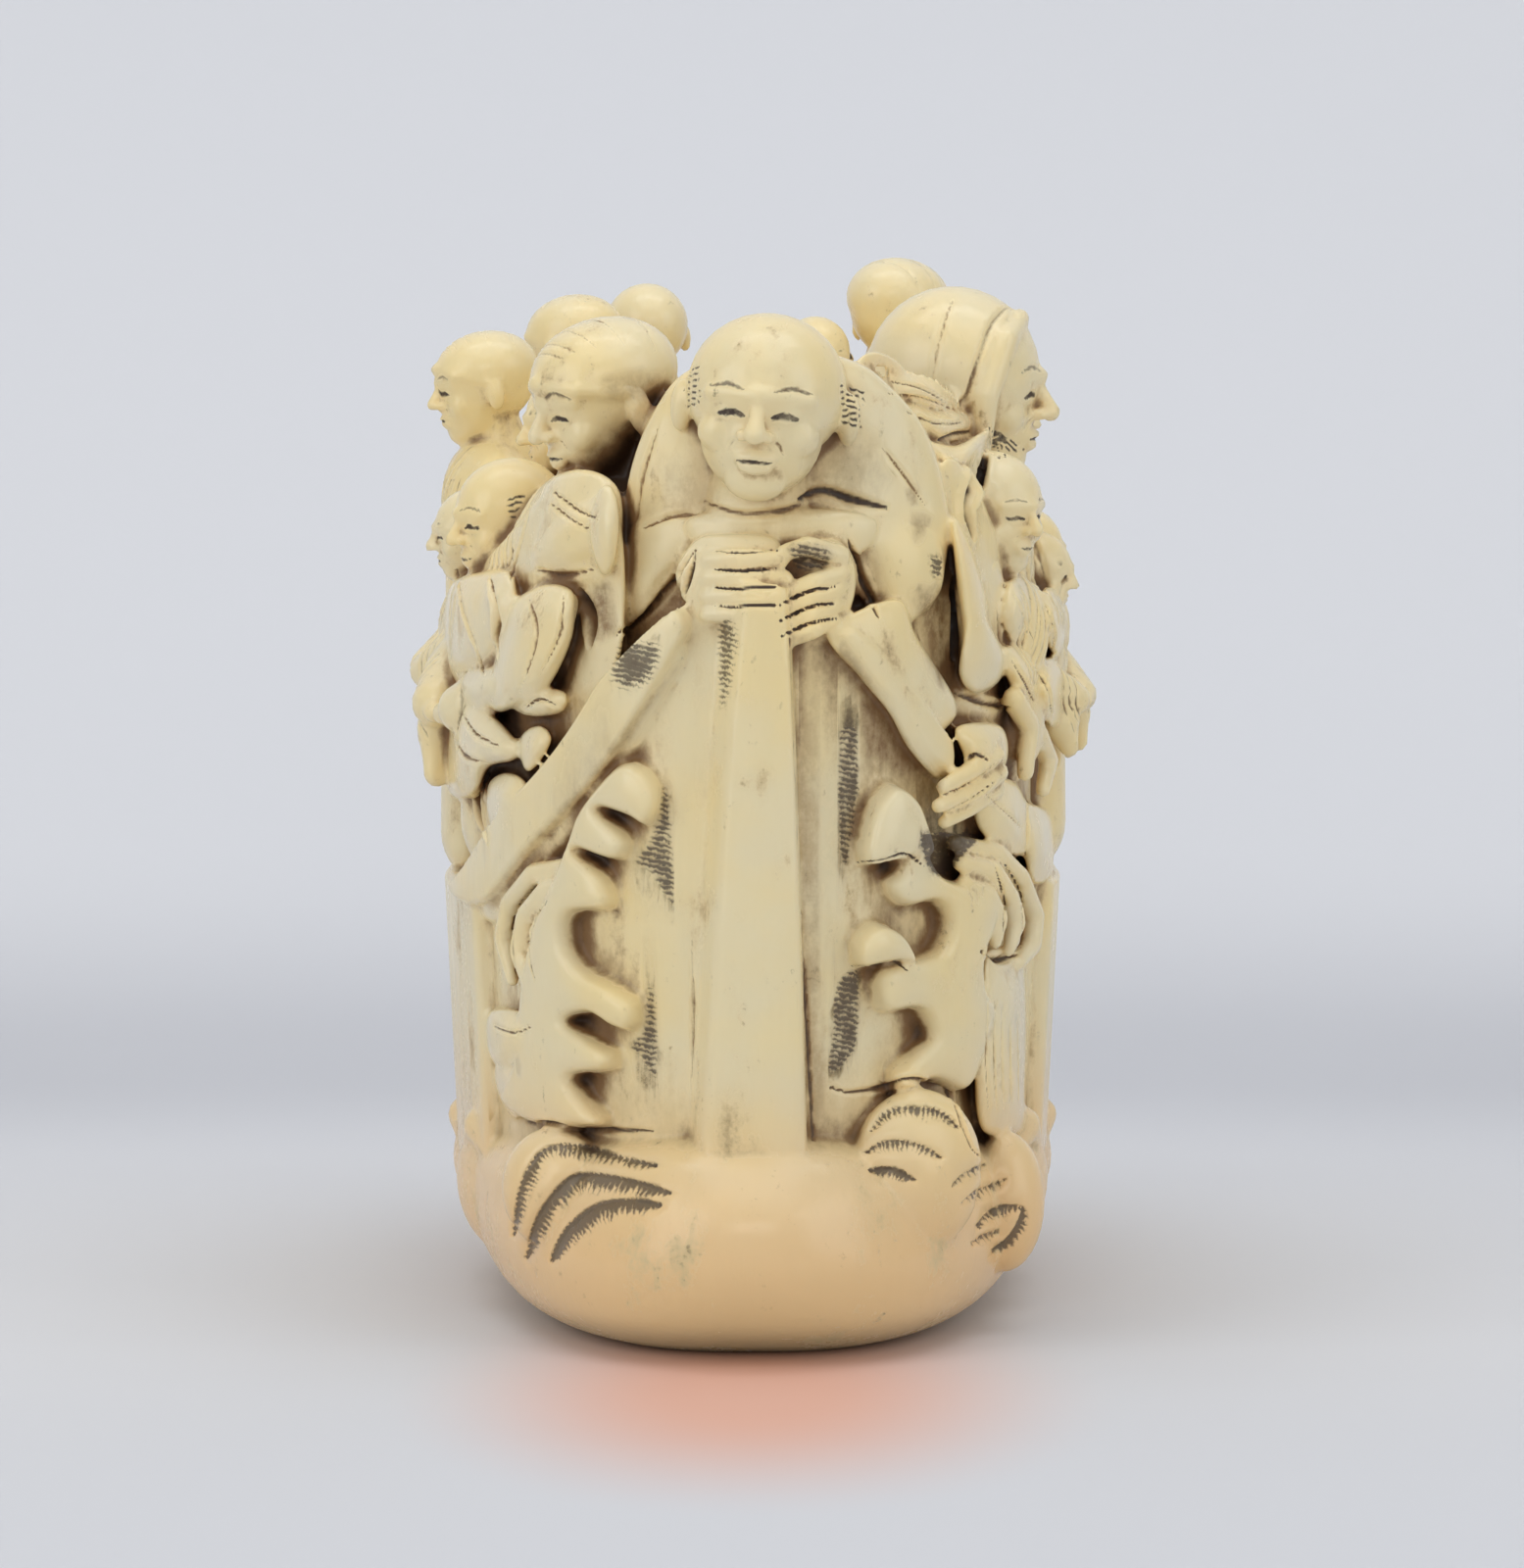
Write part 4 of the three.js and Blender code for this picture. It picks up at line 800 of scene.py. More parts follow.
def clothCuts():
    # folds and painted hair on the forms beside the bow: line, width, depth, ink
    lines = [
        # port
        ([(-5.8, 26.5), (-5.4, 25.6), (-5.5, 24.6)], 0.3, 0.5, 0.2),
        ([(-7.6, 26.3), (-7.3, 25.0), (-7.9, 23.0)], 0.12, 0.1, 0.1),
        ([(-6.4, 26.4), (-6.5, 25.0), (-7.2, 23.6)], 0.12, 0.12, 0.15),
        ([(-6.8, 29.9), (-6.0, 29.3), (-5.2, 28.9)], 0.1, 0.14, 0.5),
        ([(-6.9, 29.5), (-6.1, 28.9), (-5.4, 28.5)], 0.1, 0.12, 0.4),
        ([(-7.3, 27.2), (-6.4, 27.0), (-5.4, 27.2)], 0.14, 0.16, 0.3),
        ([(-7.5, 29.4), (-7.8, 28.2), (-8.2, 26.8)], 0.12, 0.16, 0.45),
        ([(-8.9, 26.9), (-8.7, 25.9), (-8.6, 25.0), (-8.6, 24.2)], 0.2, 0.3, 0.3),
        ([(-10.0, 27.2), (-9.8, 25.8), (-9.3, 24.4), (-9.1, 23.7)], 0.13, 0.18, 0.35),
        ([(-9.9, 22.4), (-9.4, 21.6), (-8.6, 21.2)], 0.12, 0.16, 0.35),
        ([(-10.2, 21.8), (-9.8, 20.9), (-9.0, 20.6)], 0.12, 0.14, 0.3),
        ([(-8.9, 20.5), (-9.2, 19.4), (-9.0, 18.0)], 0.24, 0.5, 0.6),
        ([(-7.7, 22.5), (-7.2, 22.8), (-6.7, 22.6)], 0.1, 0.16, 0.5),
        ([(-7.4, 16.4), (-8.0, 15.5), (-8.15, 14.2), (-7.9, 13.0)], 0.08, 0.14, 0.6),
        ([(-7.0, 15.9), (-7.45, 15.1), (-7.6, 14.1), (-7.4, 13.2)], 0.08, 0.14, 0.6),
        ([(-8.8, 11.6), (-8.1, 11.4), (-7.5, 11.6)], 0.09, 0.1, 0.5),
        # starboard
        ([(7.9, 31.0), (7.55, 30.2), (7.25, 29.3), (7.5, 28.3)], 0.4, 0.8, 1.0),
        ([(7.4, 31.9), (6.9, 31.8), (6.3, 31.6)], 0.14, 0.2, 0.7),
        ([(4.7, 33.6), (5.7, 33.4), (6.6, 32.9)], 0.1, 0.12, 0.5),
        ([(4.6, 33.2), (5.8, 33.0), (7.0, 32.6)], 0.09, 0.1, 0.4),
        ([(5.2, 32.6), (6.2, 32.2), (7.2, 32.2)], 0.1, 0.12, 0.5),
        ([(6.9, 26.9), (6.9, 25.6), (6.8, 24.2)], 0.35, 0.5, 0.5),
        ([(6.9, 23.0), (7.8, 22.7), (8.8, 22.5)], 0.16, 0.2, 0.5),
        ([(7.1, 20.7), (7.7, 20.9), (8.1, 20.7)], 0.13, 0.2, 0.6),
        ([(8.3, 20.6), (7.5, 20.0), (6.4, 19.45)], 0.07, 0.16, 0.6),
        ([(8.3, 20.0), (7.5, 19.4), (6.5, 18.9)], 0.07, 0.16, 0.6),
        ([(9.3, 19.7), (9.35, 18.5), (9.3, 17.4)], 0.12, 0.2, 0.5),
        ([(7.9, 19.6), (8.6, 19.0), (9.2, 18.4)], 0.1, 0.08, 0.2),
        ([(8.3, 17.1), (8.55, 16.1), (8.6, 15.0), (8.5, 14.3)], 0.08, 0.14, 0.6),
        ([(8.6, 17.2), (9.1, 16.2), (9.25, 15.2), (9.15, 14.3)], 0.08, 0.14, 0.7),
        ([(7.8, 14.2), (8.4, 13.9), (9.0, 14.1)], 0.2, 0.35, 0.6),
        ([(8.9, 26.4), (9.3, 25.4), (9.2, 24.5)], 0.12, 0.16, 0.4),
        ([(8.8, 24.2), (9.3, 23.4), (9.6, 22.7)], 0.12, 0.16, 0.4),
        ([(10.0, 26.0), (10.3, 25.1), (10.2, 24.4)], 0.1, 0.14, 0.35),
        ([(9.6, 23.9), (10.1, 23.1), (10.2, 22.3)], 0.12, 0.16, 0.5),
    ]
    for line, width, depth, ink in lines:
        cut(line, width, depth, ink, fromFront=True)
    # combed hair, and the flutes of the column of spray
    for k in range(7):
        cut([(8.05 + 0.03 * k, 32.1 - 0.02 * k), (8.1 + 0.12 * k, 31.3 + 0.04 * k), (8.0 + 0.22 * k, 30.6 + 0.1 * k)], 0.05, 0.05, 0.85, fromFront=True)
    for k in range(5):
        cut([(8.05 + 0.25 * k, 12.6 - 0.2 * k), (8.0 + 0.27 * k, 10.6), (8.1 + 0.25 * k, 8.6 + 0.1 * k)], 0.08, 0.08, 0.25, fromFront=True)


bowCuts()
robeCuts()
clothCuts()

# Stained and hatched ground, with painted shadow under rails, flaps and sleeves and beside the leader's neck, seen from
# the front: outline, how strong, and the width of its soft edge.
patches = [
    {"outline": [(1.25, 24.9), (1.95, 24.9), (2.3, 16.5), (2.45, 8.6), (2.2, 7.4), (1.9, 8.4), (1.6, 16.5)], "stainAndShade": 0.42, "soft": 0.15},
    {"outline": [(2.95, 21.7), (3.6, 21.8), (3.65, 20.3), (3.55, 18.9), (3.3, 17.2), (2.95, 17.6)], "hatch": 0.4, "stainAndShade": 0.6, "soft": 0.15},
    {"outline": [(2.85, 13.1), (3.6, 13.5), (3.65, 11.2), (3.2, 10.3), (2.6, 10.0), (2.7, 11.5)], "hatch": 0.42, "stainAndShade": 0.6, "soft": 0.15},
    {"outline": [(-3.0, 19.9), (-2.7, 18.6), (-2.6, 15.7), (-3.5, 16.8), (-4.1, 17.2), (-3.4, 18.2)], "hatch": 0.42, "stainAndShade": 0.45, "soft": 0.3},
    {"outline": [(-3.6, 13.0), (-3.25, 12.8), (-3.2, 9.8), (-3.9, 10.6), (-4.3, 10.9), (-3.7, 11.6)], "hatch": 0.4, "stainAndShade": 0.5, "soft": 0.25},
    {"outline": [(5.8, 18.2), (7.7, 18.2), (7.2, 17.4), (6.6, 16.8), (6.0, 17.0)], "hatch": 0.6, "stainAndShade": 0.7, "soft": 0.15},
    {"outline": [(-4.2, 24.9), (-3.0, 24.7), (-3.4, 23.3), (-4.6, 23.0), (-4.9, 24.0)], "hatch": 0.48, "soft": 0.6},
    {"outline": [(-1.2, 25.4), (-0.5, 25.4), (-0.6, 23.4), (-1.1, 22.4)], "hatch": 0.44, "soft": 0.35},
    {"outline": [(3.0, 24.9), (3.5, 24.4), (5.7, 20.9), (6.6, 19.9), (5.9, 19.5), (4.6, 21.6), (3.0, 23.9)], "stainAndShade": 0.6, "soft": 0.3},
    {"outline": [(-2.5, 24.0), (-2.9, 23.2), (-4.6, 20.6), (-7.4, 17.6), (-8.7, 15.6), (-8.9, 16.2), (-5.0, 21.2)], "stainAndShade": 0.5, "soft": 0.35},
    {"outline": [(5.3, 30.1), (5.7, 30.1), (5.6, 29.4), (5.3, 29.4)], "stainAndShade": 0.6, "soft": 0.15},
    {"outline": [(5.4, 28.9), (5.9, 28.9), (5.8, 28.2), (5.5, 28.2)], "stainAndShade": 0.6, "soft": 0.15},
    {"outline": [(6.0, 27.7), (6.5, 27.6), (6.4, 26.9), (6.1, 27.0)], "hatch": 0.5, "soft": 0.15},
    {"outline": [(1.3, 28.1), (2.7, 28.0), (2.6, 27.2), (1.5, 27.2)], "hatch": 0.42, "stainAndShade": 0.6, "soft": 0.25},
    {"outline": [(2.3, 32.0), (4.4, 31.8), (4.4, 29.4), (1.6, 29.4)], "stainAndShade": 0.35, "soft": 0.8},
    {"outline": [(-2.9, 31.2), (-1.2, 30.4), (-1.0, 28.9), (-3.0, 29.2)], "stainAndShade": 0.3, "soft": 0.8},
    {"outline": [(-5.8, 26.2), (-4.8, 26.8), (-4.6, 25.0), (-5.4, 24.8)], "stainAndShade": 0.9, "soft": 0.35},
    {"outline": [(5.5, 26.6), (6.7, 26.4), (6.9, 24.6), (6.6, 23.2), (6.1, 23.6)], "stainAndShade": 0.95, "soft": 0.4},
    {"outline": [(-4.9, 33.9), (-3.0, 33.8), (-3.0, 32.9), (-4.9, 33.0)], "stainAndShade": 0.5, "soft": 0.5},
]
# The gravers' crescents on the waves: top edge, greatest breadth below it, and how dark.
crescents = [
    ([(-8.2, 4.4), (-8.0, 5.9), (-7.7, 6.7), (-7.15, 7.4), (-6.5, 7.6), (-5.5, 7.5), (-4.5, 7.2), (-3.2, 6.85)], 0.75, 0.6),
    ([(-7.75, 3.6), (-7.45, 4.8), (-7.0, 5.6), (-6.5, 6.2), (-5.9, 6.55), (-4.9, 6.5), (-3.7, 6.25), (-2.75, 5.9)], 0.85, 0.75),
    ([(-6.95, 3.5), (-6.5, 4.5), (-5.9, 5.1), (-5.3, 5.5), (-4.6, 5.65), (-3.8, 5.65), (-3.05, 5.5)], 0.85, 0.85),
    ([(4.0, 8.0), (4.35, 8.55), (5.0, 8.85), (5.8, 8.85), (6.6, 8.65), (7.15, 8.1)], 0.6, 0.42),
    ([(3.85, 7.25), (4.3, 7.6), (5.1, 7.7), (5.9, 7.5), (6.5, 7.1)], 0.6, 0.55),
    ([(4.0, 6.7), (4.5, 6.75), (5.1, 6.65), (5.6, 6.3)], 0.5, 0.8),
    ([(6.85, 6.1), (7.3, 6.55), (8.0, 6.9)], 0.45, 0.4),
    ([(7.2, 5.5), (7.8, 6.0), (8.7, 6.4)], 0.45, 0.42),
    ([(7.7, 4.7), (8.1, 5.2), (8.6, 5.45), (9.25, 5.4)], 0.45, 0.6),
    ([(7.5, 4.1), (7.9, 4.4), (8.5, 4.6)], 0.35, 0.5),
    ([(8.2, 3.85), (8.8, 4.35), (9.15, 4.9), (9.3, 5.4)], 0.45, 0.85),
]


def shadeFromFront(co, out, layers):
    # lays the patches and crescents on what faces the bow, and sinks the crescents
    x, z = toBow(co)
    faced = (out[:, 1] < 0.25) & (co[:, 1] < -5)
    places = np.nonzero(faced)[0]
    x, z = x[places], z[places]

    def near(outline, margin):
        low, high = np.min(outline, axis=0) - margin, np.max(outline, axis=0) + margin
        return (x > low[0]) & (x < high[0]) & (z > low[1]) & (z < high[1])

    for patch in patches:
        some = near(patch["outline"], 0.1)
        here = places[some]
        depth = insideDepth(x[some], z[some], smoothLine(patch["outline"], closed=True, step=0.2))
        share = ease(depth, -0.4 * patch["soft"], patch["soft"])
        for name in ("stainAndShade", "hatch"):
            layers[name][here] = np.maximum(layers[name][here], patch.get(name, 0) * share)
        if "hatch" in patch:
            layers["along"][here] = np.where(share > 0, z[some] + 0.25 * x[some], layers["along"][here])
    for top, breadth, dark in crescents:
        line = smoothLine(top, step=0.2)
        some = near(line, breadth)
        here = places[some]
        far, share = alongLine(x[some], z[some], line)
        above = x[some], z[some] + 0.02
        isBelow = alongLine(*above, line)[0] < far
        wide = breadth * np.sqrt(np.clip(1 - (2 * share - 1) ** 2, 0.02, 1))
        reach = np.where(isBelow, np.clip(1 - far / wide, 0, 1), np.clip(1 - far / 0.08, 0, 1))
        reach = np.where((share > 0.001) & (share < 0.999), reach, 0)
        length = np.linalg.norm(np.diff(line, axis=0), axis=1).sum()
        layers["hatch"][here] = np.maximum(layers["hatch"][here], dark * reach)
        layers["along"][here] = np.where(reach > 0, share * length, layers["along"][here])
        co[here] -= out[here] * (0.13 * reach)[:, None]


def carve(thing):
    mesh = thing.data
    co = corners(mesh)
    out = np.empty(co.size, np.float32)
    mesh.vertex_normals.foreach_get("vector", out)
    out = out.reshape(-1, 3).astype(float)
    tree = BVHTree.FromObject(thing, bpy.context.evaluated_depsgraph_get())
    eye = Vector(view["eye"])
    byX = np.argsort(co[:, 0])
    sortedX = co[byX, 0]
    layers = {name: np.zeros(len(co)) for name in ("ink", "hatch", "stainAndShade", "along")}
    for groove in cuts:
        line = []
        for place in groove["line"]:
            if groove["fromFront"]:
                hit = tree.ray_cast(eye, (Vector((place[0], view["plane"], place[1])) - eye).normalized())[0]
            else:
                hit = tree.find_nearest(Vector(place), 1.2)[0]
            if hit is not None:
                line.append(tuple(hit))
        if len(line) < 2:
            continue
        line = np.array(line)
        width = groove["width"]
        margin = 2.2 * width
        first, last = np.searchsorted(sortedX, [line[:, 0].min() - margin, line[:, 0].max() + margin])
        near = byX[first:last]
        low, high = line.min(axis=0) - margin, line.max(axis=0) + margin
        near = near[np.all((co[near] > low) & (co[near] < high), axis=1)]
        if not len(near):
            continue
        best = np.full(len(near), 1e9)
        share = np.zeros(len(near))
        count = len(line) - 1
        for i in range(count):
            a, run = line[i], line[i + 1] - line[i]
            if run @ run > 1.0:
                continue  # the line jumps from one form to another behind it
            t = np.clip((co[near] - a) @ run / (run @ run + 1e-12), 0, 1)
            far = np.linalg.norm(co[near] - a - t[:, None] * run, axis=1)
            share = np.where(far < best, (i + t) / count, share)
            best = np.minimum(best, far)
        wide = width * (1 - groove["taper"] * np.abs(2 * share - 1) ** 2.5)
        reach = np.clip(1 - best / wide, 0, 1)
        profile = reach * reach * (3 - 2 * reach)
        shoulder = 0.28 * np.clip(1 - np.abs(best / wide - 1.5) / 0.7, 0, 1)
        co[near] -= out[near] * (groove["depth"] * (profile - shoulder) * (wide / width))[:, None]
        layers["ink"][near] = np.maximum(layers["ink"][near], groove["ink"] * np.clip(1.7 * profile, 0, 1))
        if groove["hatch"]:
            length = np.linalg.norm(np.diff(line, axis=0), axis=1).sum()
            layers["hatch"][near] = np.maximum(layers["hatch"][near], groove["hatch"] * reach)
            layers["along"][near] = np.where(reach > 0, share * length, layers["along"][near])
    shadeFromFront(co, out, layers)
    setCorners(mesh, co)
    for name, values in layers.items():
        mesh.attributes.new(name, "FLOAT", "POINT").data.foreach_set("value", values.astype(np.float32))


netsuke = bpy.data.objects.new("netsuke", clay)
bpy.context.scene.collection.objects.link(netsuke)
bpy.context.view_layer.update()
carve(netsuke)
print("lines cut:", len(cuts))


def softened(thing, rounds):
    # where the points go after this many rounds of smoothing
    soften = thing.modifiers.new("soften", "SMOOTH")
    soften.factor = 0.5
    soften.iterations = rounds
    mesh = evaluated(thing, "softened")
    thing.modifiers.clear()
    co = corners(mesh)
    bpy.data.meshes.remove(mesh)
    return co


def creases(thing):
    # smoothing lifts a point out of a groove and sinks it on a ridge: how far, over narrow and over wide ground
    mesh = thing.data
    co = corners(mesh)
    out = np.empty(co.size, np.float32)
    mesh.vertex_normals.foreach_get("vector", out)
    out = out.reshape(-1, 3)
    for name, rounds, full in (("crease", 7, 0.05), ("bend", 45, 0.22)):
        lifted = ((softened(thing, rounds) - co) * out).sum(axis=1) / full
        mesh.attributes.new(name, "FLOAT", "POINT").data.foreach_set("value", np.clip(lifted, -1.5, 1.5).astype(np.float32))


creases(netsuke)
print("creases read")


def read(mesh, name):
    values = np.empty(len(mesh.vertices), np.float32)
    mesh.attributes[name].data.foreach_get("value", values)
    return values


def thin(thing, isOpen, target):
    # collapse edges where isOpen holds until the mesh has this many triangles
    mesh = thing.data
    group = thing.vertex_groups.new(name="open")
    group.add([int(i) for i in np.nonzero(isOpen(mesh))[0]], 1.0, "REPLACE")
    triangles = sum(len(face.vertices) - 2 for face in mesh.polygons)
    decimate = thing.modifiers.new("thin", "DECIMATE")
    decimate.vertex_group = group.name
    decimate.ratio = min(1, target / triangles)
    thing.data = evaluated(thing, "netsuke")
    thing.modifiers.clear()
    thing.vertex_groups.clear()


def thinned(thing):
    # the bow keeps most of the triangles, and its inked lines keep all of theirs
    source = thing.data.copy()
    front = -6.0
    co = corners(thing.data)
    total = sum(len(face.vertices) - 2 for face in thing.data.polygons)
    frontShare = float((co[:, 1] < front).mean())
    budget = carving["triangles"]
    inked = np.maximum(read(source, "ink"), read(source, "hatch")) > 0.12
    print("inked points:", int((inked & (co[:, 1] < front)).sum()))
    thin(thing, lambda mesh: corners(mesh)[:, 1] >= front, total * frontShare + budget * (1 - carving["bowShare"]))
    thin(thing, lambda mesh: (corners(mesh)[:, 1] < front) & (np.maximum(read(mesh, "ink"), read(mesh, "hatch")) < 0.12), budget)
    thing.data.validate()
    tree = KDTree(len(source.vertices))
    for vert in source.vertices:
        tree.insert(vert.co, vert.index)
    tree.balance()
    nearest = [tree.find(vert.co)[1] for vert in thing.data.vertices]
    for name in ("ink", "hatch", "stainAndShade", "along", "crease", "bend"):
        values = read(source, name)
        if name in thing.data.attributes:
            thing.data.attributes.remove(thing.data.attributes[name])
        thing.data.attributes.new(name, "FLOAT", "POINT").data.foreach_set("value", values[nearest])
    bpy.data.meshes.remove(source)


thinned(netsuke)
print("thinned:", len(netsuke.data.polygons), "faces")


def recesses(thing, pitch=0.25):
    # how much of the space round each point is ivory: half on a plain side, more in a hollow, less on a ridge
    mesh = thing.data
    co = corners(mesh)
    out = np.empty(co.size, np.float32)
    mesh.vertex_normals.foreach_get("vector", out)
    out = out.reshape(-1, 3)
    bpy.context.view_layer.update()
    tree = BVHTree.FromObject(thing, bpy.context.evaluated_depsgraph_get())
    margin = 12
    low = co.min(axis=0) - margin * pitch
    size = np.ceil((co.max(axis=0) - low) / pitch).astype(int) + margin
    grid = np.zeros(size, np.float32)
    up = Vector((0, 0, 1))
    for i in range(size[0]):
        for j in range(size[1]):
            place = Vector((low[0] + (i + 0.5) * pitch, low[1] + (j + 0.5) * pitch, low[2]))
            heights = []
            while True:
                hit = tree.ray_cast(place, up)[0]
                if hit is None:
                    break
                heights.append((hit.z - low[2]) / pitch)
                place.z = hit.z + 1e-3
            for start, end in zip(heights[::2], heights[1::2]):
                grid[i, j, int(start + 0.5):int(end + 0.5)] = 1

    def blur(values, half):
        for axis in range(3):
            padded = np.concatenate([np.zeros_like(values.take([0], axis)), np.cumsum(values, axis=axis)], axis=axis)
            count = values.shape[axis]
            highEnd = np.minimum(np.arange(count) + half + 1, count)
            lowEnd = np.maximum(np.arange(count) - half, 0)
            values = (padded.take(highEnd, axis) - padded.take(lowEnd, axis)) / (2 * half + 1)
        return values

    for name, half, lift in (("near", 2, 0.15), ("wide", 6, 0.3)):
        soft = blur(blur(grid, half), half)
        spot = (co + out * lift - low) / pitch - 0.5
        base = np.floor(spot).astype(int)
        part = spot - base
        value = np.zeros(len(co))
        for corner in range(8):
            step = np.array([corner >> 2 & 1, corner >> 1 & 1, corner & 1])
            weight = np.prod(np.where(step, part, 1 - part), axis=1)
            value += weight * soft[tuple((base + step).T)]
        mesh.attributes.new(name, "FLOAT", "POINT").data.foreach_set("value", value.astype(np.float32))


recesses(netsuke)
netsuke.data.transform(Matrix.Scale(mm, 4))
netsuke.data.shade_smooth()
print("recesses read")

# The finish


def linear(hexColour):
    # an sRGB hex value as linear colour
    parts = [int(hexColour[i:i + 2], 16) / 255 for i in (0, 2, 4)]
    return [c / 12.92 if c <= 0.04045 else ((c + 0.055) / 1.055) ** 2.4 for c in parts] + [1.0]


def add(tree, kind, inputs=None, **settings):
    made = tree.nodes.new(kind)
    for name, value in settings.items():
        setattr(made, name, value)
    for name, value in (inputs or {}).items():
        if isinstance(value, bpy.types.NodeSocket):
            tree.links.new(value, made.inputs[name])
        else:
            made.inputs[name].default_value = value
    return made


ivory = {
    "cream": "f1dba2",  # polished high places
    "pale": "ebdcb2",  # slow drift of tone through the tusk
    "warm": "edc58d",  # the much handled foot
    "ground": "d8c08e",  # carved ground that was never polished
    "brown": "80603c",  # stain in the hollows, and painted shade there
    # near black for the deepest hollows: painted shade over the stain
    "darkest": "3f2a17",
    "ink": "40342b",  # lamp black rubbed into the cuts
    "strokePitch": 0.2,  # mm between the strokes of a graver
    "driftSize": 6.0,  # mm
}


def carvedIvory():
    # Ivory, carved and hand polished, then stained: a soft waxy glow, dull brown in the hollows from stain and painted
    # shade, near black painted shade in the deepest, black in fine cuts.
    made = bpy.data.materials.new("Carved ivory, polished and stained")
    made.use_nodes = True
    tree = made.node_tree
    tree.nodes.clear()
    place = add(tree, "ShaderNodeTexCoord").outputs["Object"]
    layer = {name: add(tree, "ShaderNodeAttribute", attribute_name=name).outputs["Fac"]
             for name in ("ink", "hatch", "stainAndShade", "along", "crease", "bend", "near", "wide")}
    height = add(tree, "ShaderNodeSeparateXYZ", {"Vector": place}).outputs["Z"]

    def cloud(size, detail=3, roughness=0.5, stretch=None):
        # a noise whose patches are about this many millimetres across
        where = add(tree, "ShaderNodeMapping", {"Vector": place, "Scale": stretch}).outputs["Vector"] if stretch else place
        return add(tree, "ShaderNodeTexNoise", {"Vector": where, "Scale": 1 / (size * mm), "Detail": detail,
                                                "Roughness": roughness}).outputs["Fac"]

    def span(value, low, high, toLow=0.0, toHigh=1.0):
        return add(tree, "ShaderNodeMapRange", {"Value": value, "From Min": low, "From Max": high, "To Min": toLow,
                                                "To Max": toHigh}, interpolation_type="SMOOTHSTEP").outputs["Result"]

    def sums(operation, a, b):
        return add(tree, "ShaderNodeMath", {0: a, 1: b}, operation=operation).outputs[0]

    def mixed(share, a, b):
        made = add(tree, "ShaderNodeMix", {0: share}, data_type="RGBA")
        for socket, value in ((made.inputs[6], a), (made.inputs[7], b)):
            if isinstance(value, bpy.types.NodeSocket):
                tree.links.new(value, socket)
            else:
                socket.default_value = linear(value)
        return made.outputs[2]

    speckle = sums("SUBTRACT", cloud(0.28, 5, 0.7), 0.5)
    ragged = sums("SUBTRACT", cloud(0.7, 4, 0.62, (1.0, 1.0, 0.45)), 0.5)
    patchy = sums("SUBTRACT", cloud(2.6, 3), 0.5)
    rough = sums("ADD", sums("MULTIPLY", speckle, 0.6), ragged)
    rising = span(height, 0.0085, 0.0035, 0.0, 1.0)  # the foot is rubbed clean
    # stain and painted shade: narrow creases, the ground between forms, deep hollows
    narrow = sums("ADD", layer["crease"], sums("MULTIPLY", rough, 1.1))
    narrow = sums("ADD", narrow, sums("MULTIPLY", patchy, 1.2))
    broad = sums("ADD", layer["bend"], sums("MULTIPLY", rough, 0.9))
    broad = sums("ADD", broad, sums("MULTIPLY", patchy, 1.3))
    near = sums("ADD", layer["near"], sums("MULTIPLY", rough, 0.12))
    near = sums("ADD", near, sums("MULTIPLY", patchy, 0.12))
    wide = sums("ADD", layer["wide"], sums("MULTIPLY", rough, 0.12))
    wide = sums("ADD", wide, sums("MULTIPLY", patchy, 0.16))
    tone = mixed(span(cloud(ivory["driftSize"]), 0.35, 0.65), ivory["cream"], ivory["pale"])
    tone = mixed(span(height, 0.0115, 0.002), tone, ivory["warm"])
    ground = sums("MAXIMUM", span(wide, 0.46, 0.56, 0, 0.8), span(broad, 0.05, 0.45, 0, 0.9))
    ground = sums("MAXIMUM", ground, span(near, 0.46, 0.56, 0, 0.8))
    tone = mixed(ground, tone, ivory["ground"])
    # brown in creases and hollows: painted shade where little light reaches, with the stain that lies there
    stainAndPaintedShade = sums("MAXIMUM", span(narrow, 0.2, 0.85, 0, 0.85), span(broad, 0.22, 0.75, 0, 0.9))
    stainAndPaintedShade = sums("MAXIMUM", stainAndPaintedShade, span(near, 0.5, 0.63, 0, 1.0))
    stainAndPaintedShade = sums("MAXIMUM", stainAndPaintedShade, span(wide, 0.54, 0.67, 0, 1.0))
    # the front's patches of stain and painted shadow, broken up by noise
    stainAndPaintedShade = sums("MAXIMUM", stainAndPaintedShade, sums("MULTIPLY", layer["stainAndShade"], span(rough, -0.25, 0.2, 0.35, 1.0)))
    # the rubbed foot keeps less of this stain and painted shade
    stainAndPaintedShade = sums("MULTIPLY", stainAndPaintedShade, sums("SUBTRACT", 1.0, sums("MULTIPLY", rising, 0.85)))
    tone = mixed(stainAndPaintedShade, tone, ivory["brown"])
    # near black in the deepest hollows: painted deep shade
    paintedDeepShade = sums("MAXIMUM", span(near, 0.63, 0.78), span(wide, 0.64, 0.78))
    paintedDeepShade = sums("MAXIMUM", paintedDeepShade, span(narrow, 0.85, 1.6, 0.0, 0.7))
    tone = mixed(paintedDeepShade, tone, ivory["darkest"])
